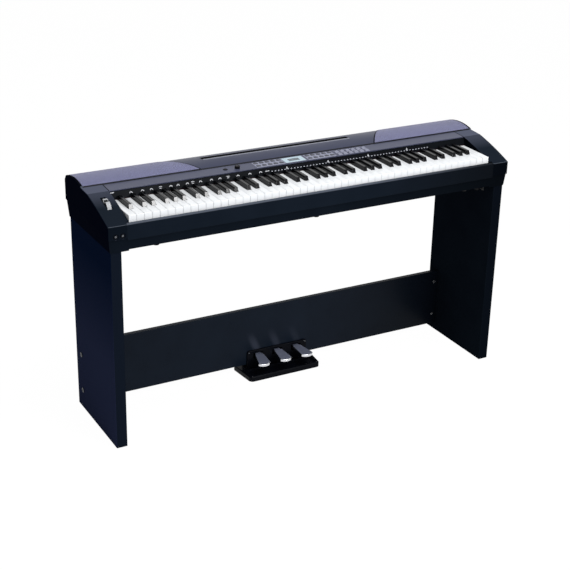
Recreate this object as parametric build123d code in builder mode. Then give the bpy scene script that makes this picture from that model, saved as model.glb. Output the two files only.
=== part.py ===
from build123d import *
import os
from math import cos, radians, sin, sqrt, tan

os.makedirs("parts", exist_ok=True)

# Slab digital piano with 88 keys, standing on two flat panels with a cross board
# and a pedal unit with three pedals. Millimetres, +X to the player's right,
# the player at -Y, +Z up, the origin on the floor under the middle of the piano.

# Driving dimensions: keyboard
key_pitch = 23.5            # one white key with its gap
white_key_count = 52
key_count = 88
key_gap = 1.0               # between two neighbouring keys
key_side_gap = 2.0          # between the last key and the end cheek
key_visible_length = 132.0  # white key in front of the nameboard
key_hidden_length = 86.0    # the rest of the lever, under the control panel
key_thickness = 16.0
apron_height = 21.0         # front face of a white key
apron_depth = 5.0
key_edge = 0.7              # chamfer around the key tops
black_key_length = 84.0     # visible cap
black_key_height = 12.5     # above the white keys
black_key_sink = 2.0        # cap foot below the white key tops
black_foot_width = 12.4
black_top_width = 10.2
black_front_slope = 5.0
black_front_gap = 1.5       # behind the white heads
black_key_edge = 1.0
pivot_radius = 3.2
pivot_clearance = 0.1
pivot_cover = 1.0           # key underside below the bead
pivot_rib = 4.0
pivot_tail = 6.0            # lever behind the pivot
key_dip = 10.0              # travel at the key front
stop_reach = 14.0           # stop rail behind the key fronts
stop_width = 20.0
chassis_sheet = 3.0

# Driving dimensions: piano case
cheek_width = 67.0
case_wall = 5.0
case_inset = 3.5            # lower case behind the upper one
case_draft = 5.0            # degrees
lower_wall = 4.0
floor_thickness = 3.0
end_pad_height = 4.0        # end pads that stand on the panels
end_pad_width = 57.5
end_pad_round = 3.0
parting_front_height = 39.0  # above the stand
parting_rear_height = 55.0
rail_depth = 12.5
rail_wall = 3.0
rail_top_height = 81.0
rail_skirt = 5.0            # rail face below the parting line
rail_tuck = 8.5             # rail end beyond the key well
rail_round = 4.0
key_front_gap = 2.5
key_top_height = 100.0
nameboard_height = 26.5     # above the key tops
nameboard_lean = 9.0
nameboard_thickness = 3.0
nameboard_gap = 2.0         # over the key tops
panel_run = 49.0            # control panel, front to rear
panel_tilt = 3.0            # degrees
panel_sheet = 3.0
panel_seam = 0.9
cheek_front_height = 79.5
cheek_belly_height = 106.0  # cheek top at the belly point
cheek_belly_reach = 79.0    # in front of the control panel
cheek_round = 3.5
cheek_corner_round = 4.0
hump_height = 138.5         # case under the grilles, above the stand
hump_depth = 129.0          # case behind the crease
hump_lip_run = 4.0
hump_lip_rise = 2.5
hump_brow_run = 7.0         # brow in front of the rear wall
hump_brow_drop = 10.0
hump_shoulder_drop = 18.0
end_plate = 7.5             # cheek part that closes the hump
rest_slot_x = -12.0
rest_slot_length = 514.0
rest_slot_width = 12.0
rest_slot_depth = 20.0
rest_slot_margin = 55.0     # in front of the rear wall
rest_slot_wall = 2.5

# Driving dimensions: grilles and loudspeakers
grille_sheet = 1.5
grille_inner_front = 306.0
grille_inner_rear = 397.0
grille_inner_bow = 5.0
grille_end_gap = 1.0
grille_frame = 7.0
baffle_drop = 13.5          # baffle under the hump top
baffle_sheet = 3.0
speaker_x = 500.0
speaker_radius = 46.0
speaker_flange = 6.0
speaker_depth = 40.0
magnet_radius = 26.0
magnet_height = 14.0
cone_depth = 15.0

# Driving dimensions: controls, x from the middle and reach from the panel's front edge
button_width = 13.0
button_length = 7.5
button_rise = 1.6
button_edge = 0.4
button_flange = 1.0
button_lip = 1.0
button_seat_gap = 0.1
button_clearance = 0.35
button_travel = 1.2
button_rows = (14.0, 35.0)
left_button_first = -128.0
left_button_columns = 5
centre_button_first = 50.0
centre_button_columns = 5
right_button_first = 154.0
right_button_columns = 6
button_pitch = 19.5
power_x = -234.0
power_radius = 6.0
power_reach = 26.0
knob_x = -196.0
knob_radius = 8.0
knob_height = 8.0
knob_shaft_radius = 3.0
knob_reach = 22.0
knob_lift = 0.6
pot_depth = 8.0
pot_clearance = 0.05
display_x = -3.0
display_width = 70.0
display_length = 38.0
display_reach = 25.0
display_flange = 2.0
glass_width = 37.0
glass_length = 18.0
glass_sink = 0.8
board_gap = 0.6             # under the pressed buttons
board_sheet = 1.6
board_length = 40.0
board_margin = 24.0
post_width = 6.0
post_reach = 24.5
post_xs = (-250.0, -160.0, -89.0, 89.0, 203.0, 265.0)
wheel_x = -642.0
wheel_reach = 50.0          # in front of the control panel
wheel_radius = 32.0
wheel_width = 14.0
wheel_height = 90.0         # axle above the stand
wheel_axle_radius = 4.0
wheel_axle_clearance = 0.05
wheel_ear = 3.0
wheel_side_gap = 1.5
wheel_slot_front = 36.0     # slot in front of the axle
wheel_slot_rear = 23.0
wheel_notch_radius = 7.0
wheel_notch_lean = 12.0     # degrees, towards the player

# Driving dimensions: sockets
jack_bore_radius = 3.25
jack_body_radius = 5.0
jack_nut_radius = 6.0
jack_recess_radius = 9.0
jack_nut_thickness = 1.5
jack_length = 30.0
jack_bore_depth = 26.0
jack_clearance = 0.2
headphone_xs = (-656.5, -636.0)
headphone_height = 49.0
rear_socket_height = 83.0
damper_jack_x = -300.0
inlet_x = -340.0
inlet_bore_radius = 2.75
inlet_bore_depth = 10.0

# Driving dimensions: stand
stand_height = 621.0
panel_inset = 8.5           # panel face behind the piano's end
panel_thickness = 33.5
panel_depth = 318.0
panel_edge_round = 2.0
glide_height = 1.5
glide_radius = 11.0
glide_margin = 28.0
board_front = 105.0
board_thickness = 16.0
board_bottom = 29.5
board_height = 197.5
board_edge_round = 1.5
bolt_heights = (65.0, 187.0)
bolt_radius = 3.0
bolt_clearance = 0.5
bolt_head_radius = 8.0
bolt_head_height = 2.5
dowel_radius = 5.0
dowel_length = 13.0
dowel_reach = 16.5          # dowel axis from the board's end
bolt_past_dowel = 10.0
angle_leg = 30.0
angle_flange = 26.0
angle_sheet = 2.5
angle_length = 216.0
hand_screw_reach = 11.5     # screw axis from the panel
hand_screw_spread = 172.0
hand_screw_radius = 3.0
hand_screw_collar_radius = 5.5
hand_screw_collar = 15.0
hand_knob_radius = 8.0
hand_knob_height = 16.0
hand_screw_bite = 12.0
screw_boss_width = 15.0
foot_radius = 9.0
foot_height = 6.0
foot_xs = (-528.0, -10.0, 528.0)
foot_margin = 16.0

# Driving dimensions: pedal unit
base_front_half = 129.0
base_rear_half = 140.0
base_front = 36.0
base_rear = 150.0
base_height = 17.0
base_corner = 14.0
base_chamfer = 3.0
tray_rim = 9.0
tray_depth = 4.0
bezel_half_width = 110.0
bezel_front = 98.0
bezel_height = 61.0
bezel_corner = 8.0
housing_half_width = 104.0
housing_wall = 3.0
housing_height = 57.0
housing_clearance = 0.5
shaft_reach = 30.0          # pedal shaft behind the bezel front
shaft_radius = 3.0
shaft_clearance = 0.05
pedal_spacing = 70.5        # at the bezel
pedal_tip_spacing = 79.0
pedal_top = 66.0            # at the bezel
pedal_slope = 5.0           # degrees, down to the tip
pedal_thickness = 9.0
pedal_tip = 26.0
pedal_tip_bow = 10.0
pedal_rear_width = 30.0
pedal_front_width = 43.0
pedal_corner = 8.0
pedal_round = 3.0
pedal_lever_width = 20.0
pedal_lever_thickness = 10.0
pedal_lever_step = 1.0      # lever below the toe's top
pedal_lever_root = 6.0      # lever let into the toe
pedal_lever_tail = 10.0
pedal_press_deg = 7.5
pedal_slot_side = 3.0
pedal_slot_gap = 3.0
rib_thickness = 3.0
spring_sheet = 1.2
spring_width = 14.0
spring_foot = 12.0
spring_toe = 8.0

# Places worked out from the driving dimensions
keyboard_width = key_pitch * white_key_count
well_x = keyboard_width / 2 + key_side_gap
body_x = well_x + cheek_width
key_well_depth = rail_depth + key_front_gap + key_visible_length + nameboard_lean
body_depth = key_well_depth + panel_run + hump_depth
front_y = -body_depth / 2
rear_y = body_depth / 2
key_front_y = front_y + rail_depth + key_front_gap
nameboard_foot_y = key_front_y + key_visible_length
panel_front_y = nameboard_foot_y + nameboard_lean
pivot_y = nameboard_foot_y + key_hidden_length - pivot_tail
key_rear_y = pivot_y + pivot_tail
case_z = stand_height + end_pad_height
key_top_z = stand_height + key_top_height
key_under_z = key_top_z - key_thickness
apron_z = key_top_z - apron_height
pivot_z = key_under_z + pivot_radius + pivot_cover
panel_front_z = key_top_z + nameboard_height
tilt = radians(panel_tilt)
crease_y = panel_front_y + panel_run
crease_z = panel_front_z + panel_run * tan(tilt)
hump_z = stand_height + hump_height
lip_y = crease_y + hump_lip_run
lip_z = crease_z + hump_lip_rise
brow_y = rear_y - hump_brow_run
peak_y = (lip_y + brow_y) / 2
brow_z = hump_z - hump_brow_drop
shoulder_z = hump_z - hump_shoulder_drop
upper_x = body_x - end_plate
panel_outer_x = body_x - panel_inset
panel_inner_x = panel_outer_x - panel_thickness
board_mid_y = board_front + board_thickness / 2
rail_x = well_x + rail_tuck
lower_x = body_x - case_inset
lower_y = rear_y - case_inset
control_plane = Plane((0, panel_front_y, panel_front_z), (1, 0, 0), (0, -sin(tilt), cos(tilt)))
shaft_y = bezel_front + shaft_reach
lever_under = pedal_top - pedal_lever_step - pedal_lever_thickness
shaft_z = lever_under + pedal_lever_thickness / 2
glide_y = panel_depth / 2 - glide_margin


def parting_z(y):
    """Height of the sloping line where the upper case meets the lower case."""
    share = (y - front_y) / body_depth
    return stand_height + parting_front_height + share * (parting_rear_height - parting_front_height)


def finish(piece, name):
    """Label a piece and write it under its name."""
    piece.part.label = name
    export_step(piece.part, f"parts/{name}.step")


# Stand: two panels on glides, the cross board and what holds them together
def side_panel(side):
    """Upright chipboard panel with its bolt holes."""
    with BuildPart() as panel:
        with BuildSketch(Plane.YZ.offset(side * panel_inner_x)):
            with Locations((0, (glide_height + stand_height) / 2)):
                Rectangle(panel_depth, stand_height - glide_height)
        extrude(amount=side * panel_thickness)
        fillet(panel.edges().filter_by(Axis.Z), panel_edge_round)
        with BuildSketch(Plane.YZ.offset(side * panel_inner_x)):
            with Locations(*[(board_mid_y, height) for height in bolt_heights]):
                Circle(bolt_radius + bolt_clearance)
        extrude(amount=side * panel_thickness, mode=Mode.SUBTRACT)
    return panel


finish(side_panel(-1), "left_side_panel")
finish(side_panel(1), "right_side_panel")

glide_spots = [
    (side * (panel_inner_x + panel_thickness / 2), end * glide_y)
    for side in (-1, 1)
    for end in (-1, 1)
]
with BuildPart() as floor_glides:
    with BuildSketch():
        with Locations(*glide_spots):
            Circle(glide_radius)
    extrude(amount=glide_height)
finish(floor_glides, "floor_glides")

dowel_x = panel_inner_x - dowel_reach
bolt_end_x = dowel_x - bolt_past_dowel
dowel_spots = [(side * dowel_x, height) for side in (-1, 1) for height in bolt_heights]
board_front_plane = Plane((0, board_front, 0), (1, 0, 0), (0, -1, 0))
with BuildPart() as modesty_board:
    with BuildSketch(board_front_plane):
        with Locations((0, board_bottom + board_height / 2)):
            Rectangle(2 * panel_inner_x, board_height)
    extrude(amount=-board_thickness)
    fillet(modesty_board.edges().filter_by(Axis.X).group_by(Axis.Z)[-1], board_edge_round)
    with BuildSketch(board_front_plane):
        with Locations((0, base_height)):
            Rectangle(
                2 * (housing_half_width + housing_clearance),
                housing_height + housing_clearance,
                align=(Align.CENTER, Align.MIN),
            )
    extrude(amount=-board_thickness, mode=Mode.SUBTRACT)
    with BuildSketch(board_front_plane):
        with Locations(*dowel_spots):
            Circle(dowel_radius)
    extrude(amount=-dowel_length, mode=Mode.SUBTRACT)
    for side in (-1, 1):
        with BuildSketch(Plane.YZ.offset(side * panel_inner_x)):
            with Locations(*[(board_mid_y, height) for height in bolt_heights]):
                Circle(bolt_radius + bolt_clearance)
        extrude(amount=side * (bolt_end_x - panel_inner_x), mode=Mode.SUBTRACT)
finish(modesty_board, "modesty_board")

with BuildPart() as cross_dowels:
    with BuildSketch(board_front_plane):
        with Locations(*dowel_spots):
            Circle(dowel_radius)
    extrude(amount=-dowel_length)
    with BuildSketch(Plane.YZ):
        with Locations(*[(board_mid_y, height) for height in bolt_heights]):
            Circle(bolt_radius)
    extrude(amount=panel_inner_x, both=True, mode=Mode.SUBTRACT)
finish(cross_dowels, "cross_dowels")

with BuildPart() as panel_bolts:
    for side in (-1, 1):
        with BuildSketch(Plane.YZ.offset(side * panel_outer_x)):
            with Locations(*[(board_mid_y, height) for height in bolt_heights]):
                Circle(bolt_head_radius)
        extrude(amount=side * bolt_head_height)
        crowns = panel_bolts.faces().group_by(Axis.X)[-1 if side > 0 else 0]
        chamfer(crowns.edges(), bolt_head_height / 3)
        with BuildSketch(Plane.YZ.offset(side * panel_outer_x)):
            with Locations(*[(board_mid_y, height) for height in bolt_heights]):
                Circle(bolt_radius)
        extrude(amount=side * (bolt_end_x - panel_outer_x))
finish(panel_bolts, "panel_bolts")

screw_x = panel_inner_x - hand_screw_reach
screw_spots = [(side * screw_x, end * hand_screw_spread / 2) for side in (-1, 1) for end in (-1, 1)]
with BuildPart() as mounting_angles:
    for side in (-1, 1):
        with BuildSketch(Plane.XZ.offset(-angle_length / 2)):
            with BuildLine():
                Polyline(
                    (side * panel_inner_x, stand_height),
                    (side * (panel_inner_x - angle_flange), stand_height),
                    (side * (panel_inner_x - angle_flange), stand_height - angle_sheet),
                    (side * (panel_inner_x - angle_sheet), stand_height - angle_sheet),
                    (side * (panel_inner_x - angle_sheet), stand_height - angle_leg),
                    (side * panel_inner_x, stand_height - angle_leg),
                    close=True,
                )
            make_face()
    extrude(amount=angle_length)
    with BuildSketch(Plane.XY.offset(stand_height)):
        with Locations(*screw_spots):
            Circle(hand_screw_radius + bolt_clearance)
    extrude(amount=-angle_sheet, mode=Mode.SUBTRACT)
finish(mounting_angles, "mounting_angles")

collar_top_z = stand_height - angle_sheet
with BuildPart() as hand_screws:
    with BuildSketch(Plane.XY.offset(collar_top_z)):
        with Locations(*screw_spots):
            Circle(hand_screw_radius)
    extrude(amount=angle_sheet + hand_screw_bite)
    with BuildSketch(Plane.XY.offset(collar_top_z)):
        with Locations(*screw_spots):
            RegularPolygon(hand_screw_collar_radius, 8)
    extrude(amount=-hand_screw_collar)
    with BuildSketch(Plane.XY.offset(collar_top_z - hand_screw_collar)):
        with Locations(*screw_spots):
            RegularPolygon(hand_knob_radius, 8)
    extrude(amount=-hand_knob_height)
    chamfer(hand_screws.faces().group_by(Axis.Z)[0].edges(), hand_knob_height / 8)
finish(hand_screws, "hand_screws")

# Pedal unit: base on the floor, housing through the board, three sprung pedals
pedal_xs = (-pedal_spacing, 0.0, pedal_spacing)
with BuildPart() as pedal_base:
    with BuildSketch() as base_plan:
        with BuildLine():
            Polyline(
                (-base_front_half, base_front),
                (base_front_half, base_front),
                (base_rear_half, base_rear),
                (-base_rear_half, base_rear),
                close=True,
            )
        make_face()
        fillet(base_plan.vertices(), base_corner)
    extrude(amount=base_height)
    chamfer(pedal_base.faces().sort_by(Axis.Z)[-1].edges(), base_chamfer)
    with BuildSketch(Plane.XY.offset(base_height)) as tray_plan:
        with Locations((0, (base_front + bezel_front) / 2)):
            Rectangle(2 * (base_front_half - tray_rim), bezel_front - base_front - 2 * tray_rim)
        fillet(tray_plan.vertices(), base_corner / 2)
    extrude(amount=-tray_depth, mode=Mode.SUBTRACT)
finish(pedal_base, "pedal_base")

slot_half = pedal_rear_width / 2 + pedal_slot_side
slot_top = pedal_top + pedal_slot_gap
slot_foot = lever_under - pedal_slot_gap - shaft_reach * tan(radians(pedal_press_deg))
bezel_plane = Plane((0, bezel_front, base_height), (1, 0, 0), (0, -1, 0))
rib_xs = [side * pedal_spacing / 2 for side in (-1, 1)]
with BuildPart() as pedal_housing:
    with BuildSketch(bezel_plane) as bezel_face:
        Rectangle(2 * bezel_half_width, bezel_height, align=(Align.CENTER, Align.MIN))
        fillet(bezel_face.vertices().group_by(Axis.Y)[-1], bezel_corner)
    extrude(amount=bezel_front - board_front)
    chamfer(pedal_housing.faces().sort_by(Axis.Y)[0].edges(), housing_wall / 2)
    with BuildSketch(bezel_plane.offset(bezel_front - board_front)):
        Rectangle(2 * housing_half_width, housing_height, align=(Align.CENTER, Align.MIN))
    extrude(amount=board_front - base_rear)
    with BuildSketch(bezel_plane.offset(-housing_wall)):
        Rectangle(
            2 * (housing_half_width - housing_wall),
            housing_height - housing_wall,
            align=(Align.CENTER, Align.MIN),
        )
    extrude(amount=bezel_front - base_rear + 2 * housing_wall, mode=Mode.SUBTRACT)
    with BuildSketch(bezel_plane):
        with Locations(*[(x, slot_foot - base_height) for x in pedal_xs]):
            Rectangle(2 * slot_half, slot_top - slot_foot, align=(Align.CENTER, Align.MIN))
    extrude(amount=-housing_wall, mode=Mode.SUBTRACT)
    for x in rib_xs:
        with BuildSketch(Plane.YZ.offset(x - rib_thickness / 2)):
            with Locations(((bezel_front + base_rear) / 2, base_height)):
                Rectangle(
                    base_rear - bezel_front - 2 * housing_wall,
                    housing_height,
                    align=(Align.CENTER, Align.MIN),
                )
        extrude(amount=rib_thickness)
    with BuildSketch(Plane.YZ):
        with Locations((shaft_y, shaft_z)):
            Circle(shaft_radius)
    extrude(amount=housing_half_width, both=True, mode=Mode.SUBTRACT)
finish(pedal_housing, "pedal_housing")

with BuildPart() as pedal_shaft:
    with BuildSketch(Plane.YZ):
        with Locations((shaft_y, shaft_z)):
            Circle(shaft_radius)
    extrude(amount=housing_half_width, both=True)
finish(pedal_shaft, "pedal_shaft")


def pedal(side):
    """Cast pedal: flared toe plate that slopes to a bowed tip, and the lever on the shaft."""
    x = side * pedal_spacing
    tip_x = side * (pedal_tip_spacing - pedal_spacing)
    rear = bezel_front - pedal_slot_side
    slope = radians(pedal_slope)
    tip = (pedal_tip - rear) / cos(slope)
    flank = tip + pedal_tip_bow
    toe_plane = Plane((x, rear, pedal_top), (1, 0, 0), (0, -sin(slope), cos(slope)))
    toe_axis = Axis(toe_plane.origin, toe_plane.z_dir)
    with BuildPart() as lever:
        with BuildSketch(toe_plane) as toe:
            with BuildLine():
                Polyline(
                    (tip_x - pedal_front_width / 2, flank),
                    (-pedal_rear_width / 2, 0),
                    (pedal_rear_width / 2, 0),
                    (tip_x + pedal_front_width / 2, flank),
                )
                ThreePointArc(
                    (tip_x - pedal_front_width / 2, flank),
                    (tip_x, tip),
                    (tip_x + pedal_front_width / 2, flank),
                )
            make_face()
            fillet(toe.vertices().group_by(Axis.Y)[0], pedal_corner)
        extrude(amount=-pedal_thickness)
        fillet(lever.faces().sort_by(toe_axis)[-1].edges(), pedal_round)
        chamfer(lever.faces().sort_by(toe_axis)[0].edges(), pedal_round / 3)
        with BuildSketch(Plane.XY.offset(lever_under)):
            with Locations((x, rear - pedal_lever_root)):
                Rectangle(
                    pedal_lever_width,
                    shaft_y + pedal_lever_tail - rear + pedal_lever_root,
                    align=(Align.CENTER, Align.MIN),
                )
        extrude(amount=pedal_lever_thickness)
        with BuildSketch(Plane.YZ.offset(x)):
            with Locations((shaft_y, shaft_z)):
                Circle(shaft_radius + shaft_clearance)
        extrude(amount=pedal_lever_width, both=True, mode=Mode.SUBTRACT)
    return lever


for name, side in (("left_pedal", -1), ("middle_pedal", 0), ("right_pedal", 1)):
    finish(pedal(side), name)

spring_foot_y = base_rear - housing_wall - spring_sheet
spring_toe_y = bezel_front + 2 * housing_wall
with BuildPart() as pedal_springs:
    for x in pedal_xs:
        with BuildSketch(Plane.YZ.offset(x - spring_width / 2)):
            with BuildLine():
                Polyline(
                    (spring_foot_y, base_height + spring_sheet / 2),
                    (spring_foot_y - spring_foot, base_height + spring_sheet / 2),
                    (spring_toe_y + spring_toe, lever_under - spring_sheet / 2),
                    (spring_toe_y, lever_under - spring_sheet / 2),
                )
            trace(line_width=spring_sheet)
        extrude(amount=spring_width)
finish(pedal_springs, "pedal_springs")

# Lower case: a drafted tray whose end pads stand on the panels
parting_plane = Plane(
    (0, front_y, parting_z(front_y)),
    (1, 0, 0),
    (0, parting_front_height - parting_rear_height, body_depth),
)
draft_run = tan(radians(case_draft)) * (parting_z(front_y) - case_z)
tray_height = parting_rear_height + case_inset
with BuildPart() as lower_case:
    with BuildSketch(Plane.XY.offset(case_z)):
        Rectangle(2 * (lower_x - draft_run), 2 * (lower_y - draft_run))
    extrude(amount=tray_height, taper=-case_draft)
    with BuildSketch(Plane.XY.offset(case_z + floor_thickness)):
        Rectangle(2 * (lower_x - draft_run - lower_wall), 2 * (lower_y - draft_run - lower_wall))
    extrude(amount=tray_height, taper=-case_draft, mode=Mode.SUBTRACT)
    split(bisect_by=parting_plane, keep=Keep.BOTTOM)
    with BuildSketch(Plane.XY.offset(stand_height)):
        for side in (-1, 1):
            with Locations((side * (lower_x - draft_run - end_pad_width / 2), 0)):
                Rectangle(end_pad_width, 2 * (lower_y - draft_run))
    extrude(amount=end_pad_height)
    pad_edges = lower_case.edges().filter_by(Axis.Y).group_by(Axis.Z)[0].sort_by(Axis.X)
    fillet([pad_edges[0], pad_edges[-1]], end_pad_round)
    with BuildSketch(Plane.XY.offset(case_z)):
        with Locations(*screw_spots):
            Rectangle(screw_boss_width, screw_boss_width)
    extrude(amount=hand_screw_bite)
    with BuildSketch(Plane.XY.offset(stand_height)):
        with Locations(*screw_spots):
            Circle(hand_screw_radius)
    extrude(amount=hand_screw_bite, mode=Mode.SUBTRACT)
finish(lower_case, "lower_case")

foot_y = lower_y - draft_run - foot_margin
with BuildPart() as rubber_feet:
    with BuildSketch(Plane.XY.offset(case_z)):
        with Locations(*[(x, end * foot_y) for x in foot_xs for end in (-1, 1)]):
            Circle(foot_radius)
    extrude(amount=-foot_height)
finish(rubber_feet, "rubber_feet")


# Upper case: rear wall and humped top with the music rest slot and loudspeaker openings
def grille_outline(side, margin):
    """Plan lines of a grille, slanted and bowed at its inner end, drawn in by a margin."""
    front = lip_y + margin
    rear = brow_y - margin
    outer = side * (upper_x - grille_end_gap - margin)
    inner_front = side * (grille_inner_front + margin)
    inner_rear = side * (grille_inner_rear + margin)
    bow = (inner_front + inner_rear) / 2 - side * grille_inner_bow
    Polyline((inner_front, front), (outer, front), (outer, rear), (inner_rear, rear))
    ThreePointArc((inner_front, front), (bow, (front + rear) / 2), (inner_rear, rear))


def hump_arc(rise):
    """Arc of the humped top, raised by a sheet thickness."""
    return ThreePointArc((lip_y, lip_z + rise), (peak_y, hump_z + rise), (brow_y, brow_z + rise))


baffle_z = hump_z - baffle_drop
slot_y = rear_y - rest_slot_margin
inner_rear_y = rear_y - case_wall
socket_z = stand_height + rear_socket_height
rear_plane = Plane((0, rear_y, 0), (-1, 0, 0), (0, 1, 0))
grille_mid_x = (grille_inner_rear + upper_x) / 2
baffle_length = upper_x - grille_inner_rear
with BuildPart() as upper_case:
    with BuildSketch(Plane.YZ):
        with BuildLine():
            Polyline((crease_y, crease_z - case_wall), (crease_y, crease_z), (lip_y, lip_z))
            hump_arc(0)
            Polyline(
                (brow_y, brow_z),
                (rear_y, shoulder_z),
                (rear_y, parting_z(rear_y)),
                (inner_rear_y, parting_z(inner_rear_y)),
                (inner_rear_y, shoulder_z - case_wall),
                (brow_y, brow_z - case_wall),
            )
            hump_arc(-case_wall)
            Line((lip_y, lip_z - case_wall), (crease_y, crease_z - case_wall))
        make_face()
    extrude(amount=upper_x, both=True)
    fillet(upper_case.edges().filter_by(Axis.X).group_by(Axis.Y)[-1].sort_by(Axis.Z)[-1], case_wall)
    for side in (-1, 1):
        with BuildSketch(Plane.XY.offset(baffle_z)):
            with BuildLine():
                grille_outline(side, grille_frame)
            make_face()
        extrude(amount=2 * baffle_drop, mode=Mode.SUBTRACT)
        with BuildSketch(Plane.XY.offset(baffle_z)):
            with Locations((side * grille_mid_x, lip_y)):
                Rectangle(baffle_length, inner_rear_y - lip_y, align=(Align.CENTER, Align.MIN))
        extrude(amount=-baffle_sheet)
        with BuildSketch(Plane.XY.offset(baffle_z - baffle_sheet)):
            with Locations((side * grille_mid_x, lip_y)):
                Rectangle(baffle_length, baffle_sheet, align=(Align.CENTER, Align.MIN))
        extrude(amount=lip_z - baffle_z)
        with BuildSketch(Plane.XY.offset(baffle_z)):
            with Locations((side * speaker_x, peak_y)):
                Circle(speaker_radius)
        extrude(amount=-baffle_sheet, mode=Mode.SUBTRACT)
    with BuildSketch(Plane.XY.offset(hump_z - rest_slot_depth - rest_slot_wall)):
        with Locations((rest_slot_x, slot_y)):
            Rectangle(rest_slot_length + 2 * rest_slot_wall, rest_slot_width + 2 * rest_slot_wall)
    extrude(amount=rest_slot_depth)
    with BuildSketch(Plane.XY.offset(hump_z - rest_slot_depth)):
        with Locations((rest_slot_x, slot_y)):
            Rectangle(rest_slot_length, rest_slot_width)
    extrude(amount=2 * rest_slot_depth, mode=Mode.SUBTRACT)
    with BuildSketch(rear_plane):
        with Locations((-damper_jack_x, socket_z), (-inlet_x, socket_z)):
            Circle(jack_body_radius + jack_clearance)
    extrude(amount=-case_wall, mode=Mode.SUBTRACT)
finish(upper_case, "upper_case")


def speaker_grille(side):
    """Thin arched sheet that lies on the hump over its loudspeaker opening."""
    with BuildPart() as grille:
        with BuildSketch(Plane.YZ.offset(side * grille_inner_front / 2)):
            with BuildLine():
                hump_arc(0)
                Line((brow_y, brow_z), (brow_y, brow_z + grille_sheet))
                hump_arc(grille_sheet)
                Line((lip_y, lip_z + grille_sheet), (lip_y, lip_z))
            make_face()
        extrude(amount=side * body_x)
        with BuildSketch(Plane.XY.offset(brow_z - case_wall)):
            with BuildLine():
                grille_outline(side, 0)
            make_face()
        extrude(amount=hump_z + case_wall - brow_z + case_wall, mode=Mode.INTERSECT)
    return grille


finish(speaker_grille(-1), "left_speaker_grille")
finish(speaker_grille(1), "right_speaker_grille")

speaker_top_z = baffle_z - baffle_sheet
speaker_low_z = speaker_top_z - speaker_depth
with BuildPart() as speakers:
    for side in (-1, 1):
        with BuildSketch(Plane((side * speaker_x, peak_y, 0), (1, 0, 0), (0, -1, 0))):
            with BuildLine():
                Polyline(
                    (0, speaker_top_z - cone_depth),
                    (magnet_radius / 2, speaker_top_z - cone_depth),
                    (speaker_radius - speaker_flange, speaker_top_z),
                    (speaker_radius + speaker_flange, speaker_top_z),
                    (speaker_radius + speaker_flange, speaker_top_z - baffle_sheet),
                    (speaker_radius, speaker_top_z - baffle_sheet),
                    (magnet_radius, speaker_low_z + magnet_height),
                    (magnet_radius, speaker_low_z),
                    (0, speaker_low_z),
                    close=True,
                )
            make_face()
        revolve(axis=Axis((side * speaker_x, peak_y, 0), (0, 0, 1)))
finish(speakers, "speakers")


# End cheeks: hollow mouldings whose tops run down in one curve to the front
def cheek_profile(wall, foot_front, foot_rear):
    """Side profile of an end cheek, lowered and drawn in by a wall, with its foot heights."""
    front = front_y + wall
    Polyline((crease_y, crease_z - wall), (crease_y, foot_rear), (front, foot_front))
    Line((front, foot_front), (front, stand_height + cheek_front_height - wall))
    ThreePointArc(
        (front, stand_height + cheek_front_height - wall),
        (panel_front_y - cheek_belly_reach, stand_height + cheek_belly_height - wall),
        (panel_front_y, panel_front_z - wall),
    )
    Line((panel_front_y, panel_front_z - wall), (crease_y, crease_z - wall))


rail_rear_y = front_y + rail_depth
wheel_y = panel_front_y - wheel_reach
wheel_z = stand_height + wheel_height
ear_x = wheel_width / 2 + wheel_side_gap
front_plane = Plane((0, front_y, 0), (1, 0, 0), (0, -1, 0))
headphone_spots = [(x, stand_height + headphone_height) for x in headphone_xs]


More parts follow.
